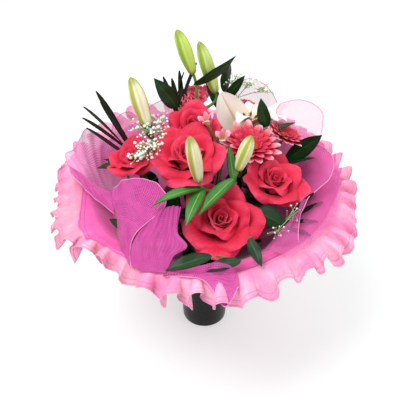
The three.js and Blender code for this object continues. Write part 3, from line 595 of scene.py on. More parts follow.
def linear(code):
    """An sRGB hex colour as linear RGBA."""
    parts = [int(code[k:k + 2], 16) / 255 for k in (1, 3, 5)]
    return [c / 12.92 if c <= 0.04045 else ((c + 0.055) / 1.055) ** 2.4 for c in parts] + [1.0]


def every(width):
    """A pattern's scale, in whole patches a metre, from the width of one patch in millimetres."""
    return round(1 / (width * MM))


def start(name, **shader):
    """A new material and its node tree, with the plain values set on the shader's own sockets."""
    made = bpy.data.materials.new(name)
    made.use_nodes = True
    tree = made.node_tree
    for key, value in shader.items():
        tree.nodes["Principled BSDF"].inputs[key.replace("_", " ")].default_value = value
    return made, tree


def add(tree, kind, sockets=None, out=0, **settings):
    """Adds one node with its settings and links. Each socket takes a value or another node's output."""
    made = tree.nodes.new("ShaderNode" + kind)
    for key, value in settings.items():
        setattr(made, key, value)
    for key, value in (sockets or {}).items():
        if isinstance(value, bpy.types.NodeSocket):
            tree.links.new(value, made.inputs[key])
        else:
            made.inputs[key].default_value = value
    return made.outputs[out]


def finished(made, **outputs):
    """Links outputs to the material's shader."""
    tree = made.node_tree
    for key, output in outputs.items():
        tree.links.new(output, tree.nodes["Principled BSDF"].inputs[key.replace("_", " ")])
    return made


def petal_skin(name, deep, body, rim, veins=34, rim_from=0.72, midrib=None, **shader):
    """A petal: deep colour at its root, paler at its rim, with fine ribs that run from root to rim."""
    made, tree = start(name, **shader)
    uv = add(tree, "UVMap", uv_map="UVMap")
    u = add(tree, "SeparateXYZ", {0: uv})
    v = u.node.outputs[1]
    tone = add(tree, "Attribute", out="Fac", attribute_name="tone")
    place = add(tree, "TexCoord", out="Object")
    clouds = add(tree, "TexNoise", {"Vector": place, "Scale": every(6.25), "Detail": 3})
    # Towards its root a petal turns to its deep colour: on a rose, painted shade down between the petals.
    up = add(tree, "MapRange", {"Value": v, "From Max": 0.75}, **EASED)
    fade = add(tree, "Mix", {0: up, 6: linear(deep), 7: linear(body)}, 2, **COLOURS)
    # Towards its rim it turns paler: on a rose, a painted highlight along the rolled edges.
    rimward = add(tree, "MapRange", {"Value": v, "From Min": rim_from}, **EASED)
    uneven = add(tree, "MapRange", {
        "Value": clouds, "From Min": 0.25, "From Max": 0.75, "To Min": 0.35}, **EASED)
    rimward = add(tree, "Math", {0: rimward, 1: uneven}, operation="MULTIPLY")
    outer = add(tree, "MapRange", {"Value": tone, "To Min": 1.0, "To Max": 0.15}, **EASED)
    rimward = add(tree, "Math", {0: rimward, 1: outer}, operation="MULTIPLY")
    rimmed = add(tree, "Mix", {0: rimward, 6: fade, 7: linear(rim)}, 2, **COLOURS)
    # A high tone darkens the whole petal: on a rose, painted shade on the inner petals and the heart.
    darker = add(tree, "Mix", {0: 1.0, 6: rimmed, 7: linear("#e9c9cc")}, 2, blend_type="MULTIPLY", **COLOURS)
    inner = add(tree, "MapRange", {"Value": tone}, **EASED)
    toned = add(tree, "Mix", {0: inner, 6: rimmed, 7: darker}, 2, **COLOURS)
    stretched = add(tree, "Mapping", {"Vector": uv, "Scale": (veins, 2.5, 1.0)})
    ribs = add(tree, "TexNoise", {"Vector": stretched, "Scale": 1.0, "Detail": 2, "Roughness": 0.6})
    ribbed = add(tree, "MapRange", {
        "Value": ribs, "From Min": 0.35, "From Max": 0.7, "To Max": 0.22}, **EASED)
    last = add(tree, "Mix", {0: ribbed, 6: toned, 7: linear(deep)}, 2, **COLOURS)
    if midrib:
        aside = add(tree, "Math", {0: u, 1: 0.5}, operation="SUBTRACT")
        off = add(tree, "Math", {0: aside}, operation="ABSOLUTE")
        flush = add(tree, "MapRange", {
            "Value": off, "From Min": 0.06, "From Max": 0.0, "To Max": 0.75}, **EASED)
        last = add(tree, "Mix", {0: flush, 6: last, 7: linear(midrib)}, 2, **COLOURS)
    raised = add(tree, "Bump", {"Height": ribs, "Strength": 0.35, "Distance": 0.5 * MM})
    return finished(made, Base_Color=last, Normal=raised)


# Rose petal: living tissue with a velvet of tiny cones, so light spreads softly. Its deep root and its darker
# inner petals are painted shade down in the bloom, and its paler rim a painted highlight on the rolled edges.
rose_petal = petal_skin(
    "rose petal velvet", "#860624", "#e0244c", "#ee5276",
    Roughness=0.6, Sheen_Weight=0.12, Sheen_Roughness=0.4, Subsurface_Weight=0.08, Subsurface_Scale=0.003,
    Specular_IOR_Level=0.25,
)
# Carnation petal: thin, dry and frilled, a strong pink with paler rims.
carnation_petal = petal_skin(
    "carnation petal", "#d42456", "#fa5682", "#ffacbe", veins=20,
    Roughness=0.7, Sheen_Weight=0.2, Specular_IOR_Level=0.25,
)
# Gerbera ray: ribbed lengthwise, crimson at the eye and nearly white at the tip.
gerbera_ray = petal_skin(
    "gerbera ray", "#b00c30", "#dc2650", "#fbe6ee", veins=5, rim_from=0.62,
    Roughness=0.55, Specular_IOR_Level=0.3,
)
# Alstroemeria petal: pink, yellow green at its root and paler at its rim.
alstroemeria_petal = petal_skin(
    "alstroemeria petal", "#c7cf7a", "#ee86a8", "#f6c3d2", veins=12, Roughness=0.5, Specular_IOR_Level=0.35,
)
# Lily tepal: thick and waxy, white with a peach line along its middle.
lily_tepal = petal_skin(
    "lily tepal wax", "#f0e6c8", "#fcefe8", "#fffaf6", veins=14, midrib="#ee9a72",
    Roughness=0.42, Subsurface_Weight=0.25, Subsurface_Scale=0.004, Specular_IOR_Level=0.4,
)


def bud_finish():
    """Lily bud: waxy closed tepals, pale cream with green along the ridges and an olive tip."""
    made, tree = start(
        "lily bud wax", Roughness=0.38, Specular_IOR_Level=0.45,
        Subsurface_Weight=0.1, Subsurface_Scale=0.004,
    )
    uv = add(tree, "UVMap", uv_map="UVMap")
    u = add(tree, "SeparateXYZ", {0: uv})
    v = u.node.outputs[1]
    tone = add(tree, "Attribute", out="Fac", attribute_name="tone")
    turned_by = add(tree, "Math", {0: u, 1: TURN * 3}, operation="MULTIPLY")
    wave = add(tree, "Math", {0: turned_by}, operation="COSINE")
    ridge = add(tree, "MapRange", {"Value": wave, "From Min": 0.2, "From Max": 0.95}, **EASED)
    streak = add(tree, "Mapping", {"Vector": uv, "Scale": (26.0, 1.5, 1.0)})
    fibres = add(tree, "TexNoise", {"Vector": streak, "Scale": 1.0, "Detail": 3, "Roughness": 0.6})
    pale = add(tree, "Mix", {0: tone, 6: linear("#f3eed2"), 7: linear("#c4dc62")}, 2, **COLOURS)
    green = add(tree, "Mix", {0: tone, 6: linear("#b8ae3c"), 7: linear("#86b434")}, 2, **COLOURS)
    body = add(tree, "Mix", {0: ridge, 6: pale, 7: green}, 2, **COLOURS)
    tip = add(tree, "MapRange", {"Value": v, "From Min": 0.8}, **EASED)
    foot = add(tree, "MapRange", {"Value": v, "From Min": 0.2, "From Max": 0.0}, **EASED)
    ends = add(tree, "Math", {0: tip, 1: foot}, operation="MAXIMUM")
    whole = add(tree, "Mix", {0: ends, 6: body, 7: linear("#8c9236")}, 2, **COLOURS)
    fine = add(tree, "MapRange", {
        "Value": fibres, "From Min": 0.4, "From Max": 0.75, "To Max": 0.35}, **EASED)
    last = add(tree, "Mix", {0: fine, 6: whole, 7: linear("#a9b75a")}, 2, **COLOURS)
    raised = add(tree, "Bump", {"Height": fibres, "Strength": 0.3, "Distance": 0.5 * MM})
    return finished(made, Base_Color=last, Normal=raised)


lily_bud = bud_finish()

# The wave of a leaf's side veins, in radians: over its whole length, and back over its whole width.
LEAF_VEINS_ALONG = 130.0
LEAF_VEINS_ACROSS = -60.0


def leaf_finish(name, body, rib, dark, **shader):
    """A leaf blade: a paler midrib, faint side veins and a waxy gloss."""
    made, tree = start(name, **shader)
    u = add(tree, "SeparateXYZ", {0: add(tree, "UVMap", uv_map="UVMap")})
    v = u.node.outputs[1]
    aside = add(tree, "Math", {0: u, 1: 0.5}, operation="SUBTRACT")
    off = add(tree, "Math", {0: aside}, operation="ABSOLUTE")
    place = add(tree, "TexCoord", out="Object")
    clouds = add(tree, "TexNoise", {"Vector": place, "Scale": every(11.1), "Detail": 3})
    base = add(tree, "Mix", {0: clouds, 6: linear(dark), 7: linear(body)}, 2, **COLOURS)
    rimward = add(tree, "MapRange", {"Value": off, "From Min": 0.3, "From Max": 0.5}, **EASED)
    edged = add(tree, "Mix", {0: rimward, 6: base, 7: linear(dark)}, 2, **COLOURS)
    inward = add(tree, "MapRange", {"Value": off, "From Min": 0.05, "From Max": 0.0}, **EASED)
    ribbed = add(tree, "Mix", {0: inward, 6: edged, 7: linear(rib)}, 2, **COLOURS)
    along = add(tree, "Math", {0: v, 1: LEAF_VEINS_ALONG}, operation="MULTIPLY")
    across = add(tree, "Math", {0: off, 1: LEAF_VEINS_ACROSS}, operation="MULTIPLY")
    slant = add(tree, "Math", {0: along, 1: across}, operation="ADD")
    veins = add(tree, "Math", {0: slant}, operation="SINE")
    fine = add(tree, "MapRange", {"Value": veins, "From Min": 0.6, "To Max": 0.08}, **EASED)
    last = add(tree, "Mix", {0: fine, 6: ribbed, 7: linear(rib)}, 2, **COLOURS)
    raised = add(tree, "Bump", {"Height": veins, "Strength": 0.15, "Distance": 0.3 * MM})
    return finished(made, Base_Color=last, Normal=raised)


# Lily leaf: fresh mid green with a soft wax gloss.
fresh_leaf = leaf_finish(
    "lily leaf", "#4a9036", "#86b65c", "#20581c", Roughness=0.42, Specular_IOR_Level=0.45,
)
# Dark foliage: leathery, nearly black green, with a stronger gloss.
dark_leaf = leaf_finish(
    "ruscus leaf", "#183f18", "#265426", "#082009", Roughness=0.42, Specular_IOR_Level=0.3,
)
# Dried blade: brittle and almost black, with brown along its fibres.
dried_blade = leaf_finish(
    "dried leaf", "#2a261c", "#3d3626", "#12120d", Roughness=0.75, Specular_IOR_Level=0.2,
)


def stem_finish(name, pale, dark, roughness=0.5):
    """A stem: fine lengthwise fibres under a thin green skin."""
    made, tree = start(name, Roughness=roughness, Specular_IOR_Level=0.4)
    uv = add(tree, "UVMap", uv_map="UVMap")
    streak = add(tree, "Mapping", {"Vector": uv, "Scale": (12.0, 3.0, 1.0)})
    fibres = add(tree, "TexNoise", {"Vector": streak, "Scale": 1.0, "Detail": 3, "Roughness": 0.6})
    last = add(tree, "Mix", {0: fibres, 6: linear(dark), 7: linear(pale)}, 2, **COLOURS)
    raised = add(tree, "Bump", {"Height": fibres, "Strength": 0.3, "Distance": 0.3 * MM})
    return finished(made, Base_Color=last, Normal=raised)


green_stem = stem_finish("green stem", "#79a853", "#3c6b2c")
pale_thread = stem_finish("gypsophila stem", "#b9cfa0", "#7e9a66", 0.6)


def floret_finish():
    """Gypsophila floret: many tiny papery petals, white with a trace of grey green in their folds."""
    made, tree = start(
        "gypsophila floret", Roughness=0.75, Specular_IOR_Level=0.2,
        Subsurface_Weight=0.15, Subsurface_Scale=0.002,
    )
    place = add(tree, "TexCoord", out="Object")
    grain = add(tree, "TexNoise", {"Vector": place, "Scale": every(0.7143), "Detail": 2})
    papery = add(tree, "MapRange", {"Value": grain, "From Min": 0.3, "From Max": 0.7}, **EASED)
    last = add(tree, "Mix", {0: papery, 6: linear("#dfe3cf"), 7: linear("#ffffff")}, 2, **COLOURS)
    raised = add(tree, "Bump", {"Height": grain, "Strength": 0.5, "Distance": 0.6 * MM})
    return finished(made, Base_Color=last, Normal=raised)


gypsophila_floret = floret_finish()


def eye_finish():
    """Gerbera disc: packed florets, deep red brown with dusty yellow tips."""
    made, tree = start("gerbera disc", Roughness=0.85, Specular_IOR_Level=0.15)
    place = add(tree, "TexCoord", out="Object")
    grain = add(tree, "TexNoise", {"Vector": place, "Scale": every(1.111), "Detail": 3})
    tone = add(tree, "Attribute", out="Fac", attribute_name="tone")
    body = add(tree, "Mix", {0: tone, 6: linear("#8a1c20"), 7: linear("#d2503e")}, 2, **COLOURS)
    dust = add(tree, "MapRange", {
        "Value": grain, "From Min": 0.4, "From Max": 0.8, "To Max": 0.5}, **EASED)
    last = add(tree, "Mix", {0: dust, 6: body, 7: linear("#e0a45a")}, 2, **COLOURS)
    raised = add(tree, "Bump", {"Height": grain, "Strength": 0.5, "Distance": 0.5 * MM})
    return finished(made, Base_Color=last, Normal=raised)


gerbera_disc = eye_finish()


def clouded_finish(name, dark, pale, width, strength, distance, **shader):
    """A surface that wanders between two tones in patches of a given width, raised where it is paler."""
    made, tree = start(name, **shader)
    place = add(tree, "TexCoord", out="Object")
    grain = add(tree, "TexNoise", {"Vector": place, "Scale": every(width), "Detail": 2})
    last = add(tree, "Mix", {0: grain, 6: linear(dark), 7: linear(pale)}, 2, **COLOURS)
    raised = add(tree, "Bump", {"Height": grain, "Strength": strength, "Distance": distance * MM})
    return finished(made, Base_Color=last, Normal=raised)


# Lily anther: dusty rust-brown pollen that hides any gloss.
lily_pollen = clouded_finish(
    "lily pollen", "#5c2a10", "#a35a24", 0.6667, 0.5, 0.4, Roughness=0.95, Specular_IOR_Level=0.1)
# The net's bound edge: a doubled band of the same thread, so it looks paler and solid.
net_hem = clouded_finish(
    "net hem", "#e67cc0", "#f4a0d2", 1.111, 0.4, 0.4, Roughness=0.5, Specular_IOR_Level=0.4)
# Wet floral foam: dull dark green with open cells about half a millimetre wide.
floral_foam = clouded_finish(
    "floral foam", "#1f4a2a", "#4a7a4e", 0.5, 0.8, 0.5, Roughness=0.95, Specular_IOR_Level=0.2)

COLLAR_THREADS = 900.0  # round the hem; the real satin is finer still, drawn as coarse as it needs to show
STITCH_ROWS = (0.905, 0.975)  # where the two rows of stitches run, from the neck at 0 to the hem at 1


def satin_finish(name, pale, body, deep, flush, low):
    """Satin ribbon cloth: long floats give a soft sheen along the folds, and two rows of stitches follow the
    hem. Towards the neck it turns to its low colour: painted shade down in the funnel."""
    made, tree = start(name, Roughness=0.42, Sheen_Weight=0.3, Sheen_Roughness=0.35, Specular_IOR_Level=0.45)
    uv = add(tree, "UVMap", uv_map="UVMap")
    v = add(tree, "SeparateXYZ", {0: uv}, 1)
    place = add(tree, "TexCoord", out="Object")
    clouds = add(tree, "TexNoise", {"Vector": place, "Scale": every(35.7), "Detail": 4})
    fine = add(tree, "Mapping", {"Vector": uv, "Scale": (COLLAR_THREADS, 14.0, 1.0)})
    threads = add(tree, "TexNoise", {"Vector": fine, "Scale": 1.0, "Detail": 2})
    clouded = add(tree, "MapRange", {"Value": clouds, "From Min": 0.3, "From Max": 0.7}, **EASED)
    cloth = add(tree, "Mix", {0: clouded, 6: linear(body), 7: linear(pale)}, 2, **COLOURS)
    wide = add(tree, "TexNoise", {"Vector": place, "Scale": every(91), "Detail": 1})
    patches = add(tree, "MapRange", {
        "Value": wide, "From Min": 0.5, "From Max": 0.72, "To Max": 0.6}, **EASED)
    cloth = add(tree, "Mix", {0: patches, 6: cloth, 7: linear(flush)}, 2, **COLOURS)
    # Darker towards the neck, at v = 0: painted shade down in the funnel.
    down = add(tree, "MapRange", {"Value": v, "From Min": 0.75, "From Max": 0.0}, **EASED)
    cloth = add(tree, "Mix", {0: down, 6: cloth, 7: linear(low)}, 2, **COLOURS)
    dark = add(tree, "MapRange", {
        "Value": threads, "From Min": 0.4, "From Max": 0.8, "To Max": 0.22}, **EASED)
    woven = add(tree, "Mix", {0: dark, 6: cloth, 7: linear(deep)}, 2, **COLOURS)
    rows = []
    for height in STITCH_ROWS:
        aside = add(tree, "Math", {0: v, 1: height}, operation="SUBTRACT")
        off = add(tree, "Math", {0: aside}, operation="ABSOLUTE")
        rows.append(add(tree, "MapRange", {"Value": off, "From Min": 0.009, "From Max": 0.003}, **EASED))
    seam = add(tree, "Math", dict(enumerate(rows)), operation="MAXIMUM")
    shade = add(tree, "Math", {0: seam, 1: 0.55}, operation="MULTIPLY")
    last = add(tree, "Mix", {0: shade, 6: woven, 7: linear(deep)}, 2, **COLOURS)
    low_threads = add(tree, "Math", {0: threads, 1: 0.3}, operation="MULTIPLY")
    height = add(tree, "Math", {0: low_threads, 1: seam}, operation="SUBTRACT")
    raised = add(tree, "Bump", {"Height": height, "Strength": 0.5, "Distance": 0.7 * MM})
    return finished(made, Base_Color=last, Normal=raised)


# The last colour of each satin is its painted shade towards the neck.
collar_satin = satin_finish("pink satin", "#f5b0cc", "#e984b4", "#cf5c98", "#ee98aa", "#df6ea8")
lining_satin = satin_finish("magenta satin", "#ee6eb6", "#e04e9f", "#b02c78", "#e862ac", "#a0246a")


def net_finish(name, thread, shade, cover, fill, full):
    """Open-weave net: a thread covers a share of its pitch; fill and full are how much light the gaps and the
    threads stop."""
    made, tree = start(name, Roughness=0.5, Sheen_Weight=0.2, Specular_IOR_Level=0.35)
    u = add(tree, "SeparateXYZ", {0: add(tree, "UVMap", uv_map="UVMap")})
    edge = 0.5 - cover / 2
    bars = []
    for count in (u, u.node.outputs[1]):
        step = add(tree, "Math", {0: count}, operation="FRACT")
        aside = add(tree, "Math", {0: step, 1: 0.5}, operation="SUBTRACT")
        off = add(tree, "Math", {0: aside}, operation="ABSOLUTE")
        limits = {"Value": off, "From Min": edge - 0.04, "From Max": edge + 0.04}
        bars.append(add(tree, "MapRange", limits, **EASED))
    weave = add(tree, "Math", dict(enumerate(bars)), operation="MAXIMUM")
    place = add(tree, "TexCoord", out="Object")
    clouds = add(tree, "TexNoise", {"Vector": place, "Scale": every(16.7), "Detail": 3})
    last = add(tree, "Mix", {0: clouds, 6: linear(shade), 7: linear(thread)}, 2, **COLOURS)
    stopped = add(tree, "MapRange", {"Value": weave, "To Min": fill, "To Max": full}, **EASED)
    raised = add(tree, "Bump", {"Height": weave, "Strength": 0.4, "Distance": 0.4 * MM})
    return finished(made, Base_Color=last, Alpha=stopped, Normal=raised)


# Magenta net: dyed threads about as wide as the gaps, so what lies behind it shows as a dark grid.
net_magenta = net_finish("magenta net", "#da4ea6", "#b9388e", 0.48, 0.2, 1.0)
# Light net: a single layer of the same weave in paler thread, so it brightens what it covers.
net_light = net_finish("light magenta net", "#fcb2e2", "#ee88ca", 0.42, 0.34, 0.85)
# Doubled net: two layers whose gaps don't meet, so hardly anything shows through.
net_double = net_finish("doubled magenta net", "#cc4298", "#a83080", 0.5, 0.72, 1.0)
# Single net: one layer of the magenta net, so more of what it covers shows.
net_single = net_finish("single magenta net", "#ea6cba", "#d0529e", 0.42, 0.12, 0.6)
# Pale net: thread and gap can hardly be told apart, a pale pink veil that lets over half the light by.
net_pale = net_finish("pale pink net", "#fbc4de", "#f29ccb", 0.6, 0.34, 0.42)


def vase_finish():
    """Black moulded plastic: smooth with a dull gloss and the faint ripple of the mould."""
    made, tree = start("black moulded plastic", IOR=1.49, Specular_IOR_Level=0.22)
    place = add(tree, "TexCoord", out="Object")
    ripple = add(tree, "TexNoise", {"Vector": place, "Scale": every(16.7), "Detail": 2})
    last = add(tree, "Mix", {0: ripple, 6: linear("#060607"), 7: linear("#0e0e10")}, 2, **COLOURS)
    limits = {"Value": ripple, "From Min": 0.3, "From Max": 0.7, "To Min": 0.22, "To Max": 0.36}
    dull = add(tree, "MapRange", limits, **EASED)
    raised = add(tree, "Bump", {"Height": ripple, "Strength": 0.05, "Distance": 0.5 * MM})
    return finished(made, Base_Color=last, Roughness=dull, Normal=raised)


black_plastic = vase_finish()

# ------------------------------------------------------------------ stems: where each stands and how it runs


class Stem:
    """A stem from its hole in the foam to the foot of its head."""

    def __init__(self, name, foot, facing, radius):
        self.name = name
        self.foot = np.asarray(foot, float)
        self.facing = unit(facing)
        self.radius = radius
        spot = self.foot[:2] * STEM_SPREAD
        self.spot = spot * min(1, MOST_SPREAD / max(np.linalg.norm(spot), 1e-9))

    def at(self, t):
        """A point on the stem: straight up out of its hole for a quarter of the way, then one curve to the
        head."""
        bottom = np.array([*self.spot, FOAM["hole_floor"] + GAP])
        mouth = np.array([*self.spot, FOAM["top"] + 3])
        head = self.foot - self.facing * GAP
        reach = np.linalg.norm(head - mouth)
        knots = (mouth, mouth + UP * reach * 0.25, head - self.facing * reach * 0.3, head)
        t = np.asarray(t, float)[..., None]
        straight = mix(bottom, mouth, np.clip(t * 4, 0, 1))
        s = np.clip((t - 0.25) / 0.75, 0, 1)
        curve = (1 - s) ** 3 * knots[0] + 3 * s * (1 - s) ** 2 * knots[1]
        curve = curve + 3 * s * s * (1 - s) * knots[2] + s ** 3 * knots[3]
        return np.where(t < 0.25, straight, curve)

    def rod(self):
        t = np.concatenate([np.linspace(0, 0.24, 4), np.linspace(0.25, 1, 20)])
        return tube(self.name + "_rod", self.at(t), self.radius)


def outwards(top):
    """The way a stem without a bloom faces: up and away from the middle."""
    return unit((top[0], top[1], 130))


def plan_stems():
    """Every stem, pushed apart from the others where they stand in the foam."""
    stems = []
    for name, face, facing, radius in ROSES:
        foot = np.array(face) - unit(facing) * ROSE_DEPTH * radius
        stems.append(Stem(name + "_stem", foot, facing, 2.5))
    for name, face, facing, radius in CARNATIONS:
        stems.append(Stem(name + "_stem", np.array(face) - unit(facing) * radius, facing, 1.8))
    for name, face, facing, radius in GERBERAS:
        stems.append(Stem(name + "_stem", np.array(face) - unit(facing) * 4, facing, 2.2))
    for lily in LILIES:
        stems.append(Stem(lily["name"] + "_stem", lily["fork"], lily["facing"], 3))
    foot = np.array(OPEN_LILY["face"]) - unit(OPEN_LILY["facing"]) * OPEN_LILY["depth"]
    stems.append(Stem("lily_open_stem", foot, OPEN_LILY["facing"], 2.8))
    stems.append(Stem("alstroemeria_stem", ALSTROEMERIA["fork"], ALSTROEMERIA["facing"], 1.6))
    for kind, radius in ((FOLIAGE, 1.7), (DARK_BLADES, 1.6), (GYPSOPHILA, 1.3)):
        for name, top, *_ in kind:
            stems.append(Stem(name, top, outwards(top), radius))
    for _ in range(SPREADING_ROUNDS):
        for a in stems:
            for b in stems:
                if a is b:
                    continue
                dx, dy = b.spot[0] - a.spot[0], b.spot[1] - a.spot[1]
                away = math.hypot(dx, dy)
                short = a.radius + b.radius + 2 * FOAM["hole_room"] + FOAM["web"] - away
                if short > 0:
                    step = short / 2 / away
                    a.spot = np.array([a.spot[0] - dx * step, a.spot[1] - dy * step])
                    b.spot = np.array([b.spot[0] + dx * step, b.spot[1] + dy * step])
            far = math.hypot(*a.spot)
            if far > MOST_SPREAD:
                a.spot = a.spot * (MOST_SPREAD / far)
    return {stem.name: stem for stem in stems}


STEMS = plan_stems()

# ------------------------------------------------------------------ vase and foam


def make_vase():
    """The vase, drawn up from its foot ring by ring, over the rim and down inside to its floor."""
    bpy.ops.mesh.primitive_circle_add(vertices=96, radius=VASE["foot"] * MM - 0.0015, fill_type="NGON")
    vase = bpy.context.object
    bpy.ops.object.mode_set(mode="EDIT")
    bpy.ops.mesh.select_all(action="SELECT")
    foot, top, wall, height = VASE["foot"], VASE["top"], VASE["wall"], VASE["height"]
    outline = [(foot - 0.6, 0.3), (foot - 0.15, 0.8), (foot, 1.5)]
    outline += [(mix(foot, top, k / 8), mix(1.5, height - 3, k / 8)) for k in range(1, 9)]
    outline += [(top + 0.5, height - 2.2), (top + 0.5, height - 0.6), (top, height)]
    outline += [(top - wall + 0.4, height), (top - wall, height - 0.8), (foot - wall, VASE["floor"] + 2)]
    outline += [(foot - wall - 1.5, VASE["floor"])]
    last = (foot - 1.5, 0)
    for radius, z in outline:
        bpy.ops.mesh.extrude_region_move(TRANSFORM_OT_translate={"value": (0, 0, (z - last[1]) * MM)})
        share = radius / last[0]
        bpy.ops.transform.resize(value=(share, share, 1), center_override=(0, 0, z * MM))
        last = (radius, z)
    bpy.ops.mesh.select_all(action="SELECT")
    bpy.ops.mesh.normals_make_consistent(inside=False)
    bpy.ops.object.mode_set(mode="OBJECT")
    vase.name = "vase_wall"
    coat(vase, black_plastic)
    settle(vase, ["vase"], 35)
    coat(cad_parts["foam"], floral_foam)


# ------------------------------------------------------------------ collar


def section(v):
    """The collar's radius and height at a share of its length, and the way it runs there."""
    steps = len(COLLAR_SECTION) - 1
    k = np.minimum((v * steps).astype(int), steps - 1)
    a, b = COLLAR_SECTION[k], COLLAR_SECTION[k + 1]
    return a + (b - a) * (v * steps - k)[..., None], unit(b - a)


def round_table(table):
    """A table of (degrees, value) as a smooth function of the turn, from 0 to 1."""
    turn = np.linspace(0, 1, 721)
    rough = np.interp(turn * 360, *zip(*table))[:-1]
    weights = np.exp(-np.linspace(-2, 2, 33) ** 2)
    soft = np.convolve(np.tile(rough, 3), weights / weights.sum(), "same")[720:1441]
    return lambda u: np.interp(u, turn, soft)


hem_reach = round_table(HEM_REACH)
lining_reach = round_table(LINING_REACH)


def collar_point(u, v, raised=0.0, ruffles=1.0):
    """A point of the collar; past the crest it turns into ruffles that fold over like an S, and whose size
    and spacing wander round the hem."""
    angle = TURN * np.asarray(u, float)
    v = np.asarray(v, float)
    share = ease(v, CREST + 0.06, 1.06) ** 1.25 * ruffles
    pull = ease(v, CREST, 1.0) * hem_reach(u)
    wave = COLLAR_WAVES * angle + 1.3 * np.sin(2 * angle + 0.6) + 1.1 * np.sin(5 * angle + 2.1)
    depth = 1 + 0.25 * np.sin(3 * angle + 1) + 0.25 * np.sin(7 * angle) + 0.18 * np.sin(11 * angle + 2)
    at, slope = section(v)
    neck, crest = COLLAR_SECTION[1][0], COLLAR_SECTION[2][0]
    past_neck = np.clip((at[..., 0] - neck) / (crest - neck), 0, 1)
    sag = (3 * np.sin(3 * angle + 0.4) + 2 * np.sin(7 * angle)) * past_neck
    dip = FRONT_DIP["deep"] * np.exp(-(((angle - FRONT_DIP["at"]) / FRONT_DIP["wide"]) ** 2))
    lean = 1.7 * np.sin(3 * angle + 1.2) + 1.2 * np.sin(8 * angle)
    lap = -RUFFLE["lap"] * depth * np.sin(2 * wave + 0.5 + 2 * lean) * share
    out = at[..., 0] + sag + pull + share * (RUFFLE["out"] * depth * np.cos(wave) - dip)
    folded = np.sin(wave + lean + 0.4 * np.sin(wave))
    up = at[..., 1] + sag / 2 - pull * 0.2 + share * RUFFLE["up"] * depth * folded
    small = share * (0.9 * np.sin(3.1 * wave + 9 * v) + 0.6 * np.sin(5.3 * wave - 7 * v))
    out = out - raised * slope[..., 1] + small
    return polar(out, angle + lap / 200, up + raised * slope[..., 0] + small * 0.6)


def collar_top(x, y):
    """How high a thing has to lie to clear the lining, or the brim past it."""
    u = np.arctan2(y, x) / TURN
    u = np.where(u < 0, u + 1, u)
    radius = np.hypot(x, y)
    low, high = np.zeros_like(radius), np.ones_like(radius)
    for _ in range(24):
        middle = (low + high) / 2
        p = collar_point(u, middle, ruffles=0.0)
        inside = np.hypot(p[..., 0], p[..., 1]) < radius
        low, high = np.where(inside, middle, low), np.where(inside, high, middle)
    slope = section(low)[1][..., 0]
    return collar_point(u, low, ruffles=0.0)[..., 2] + COLLAR_ROOM / np.maximum(slope, 0.5)


def clear_of_lining(p):
    """Lifts the points of a leaf that would lie in the collar."""
    low = collar_top(p[..., 0], p[..., 1]) + 1.0
    outside = np.hypot(p[..., 0], p[..., 1]) > COLLAR_SECTION[1][0]
    p[..., 2] = np.where(outside, np.maximum(p[..., 2], low), p[..., 2])
    return p


def make_collar():
    outer = surface("collar_cloth", collar_point, 680, 50, closed=True)
    thicken(outer, COLLAR_THICK)
    coat(outer, collar_satin)
    settle(outer, ["collar_outer"], 80)

    def lining_point(u, v):
        end = np.interp(lining_reach(u), COLLAR_SECTION[:, 0], np.linspace(0, 1, len(COLLAR_SECTION)))
        return collar_point(u, v * end, COLLAR_THICK + LINING_GAP)

    lining = surface("collar_lining_cloth", lining_point, 360, 30, closed=True)
    thicken(lining, COLLAR_THICK)
    coat(lining, lining_satin)
    settle(lining, ["collar_lining"], 80)


# ------------------------------------------------------------------ nets


def net_sheet(stations, weave, seed, hemmed):
    """One cut of net, with its weave true to the thread spacing, and a bound hem along its hemmed sides."""
    def rise(p):
        p[..., 2] = np.maximum(p[..., 2], collar_top(p[..., 0], p[..., 1]) + NET_ROOM)
        return p

    columns, rows = 96, 60
    point = loft(stations, NET_FOLDS, seed, rise)
    sheet = surface("weave", point, columns, rows)
    v, u = np.meshgrid(np.linspace(0, 1, rows + 1), np.linspace(0, 1, columns + 1), indexing="ij")
    spots = point(u, v)
    wide = np.linalg.norm(np.diff(spots, axis=1), axis=-1).sum(axis=1).mean()
    long = np.linalg.norm(np.diff(spots, axis=0), axis=-1).sum(axis=0).mean()
    count_threads(sheet, round(wide / NET_PITCH), round(long / NET_PITCH))
    coat(sheet, weave)
    sides = {"top": spots[-1], "first": spots[:, 0], "last": spots[:, -1]}
    hems = [coat(tube("hem", sides[side], HEM_RADIUS, 6), net_hem) for side in hemmed]
    return [sheet, *hems]


def make_nets():
    weaves = {("net_left", 0): net_light, ("net_right", 0): net_single, ("net_right", 1): net_single,
              ("net_left_roll", 1): net_double}
    for number, (name, net) in enumerate(NETS.items()):
        pale = "back" in name
        usual = net_pale if pale else net_magenta
        parts = []
        for k, stations in enumerate(net["sheets"]):
            hemmed = HEMMED.get((name, k), ("top", "first", "last"))
            weave = weaves.get((name, k), usual)
            parts += net_sheet(stations, weave, 3 + number + 10 * k, hemmed)
        whole = joined(name + "_weave", parts)
        settle(whole, [name], 80)


# ------------------------------------------------------------------ roses


def bloom(name, pieces, thick, skin, cup, foot, facing):
    """Joins a bloom's petals and the green cup that holds them, and sets it on its stem."""
    whole = coat(thicken(joined(name, pieces), thick), skin)
    return set_down(joined(name, [whole, coat(cup, green_stem)]), foot, facing)


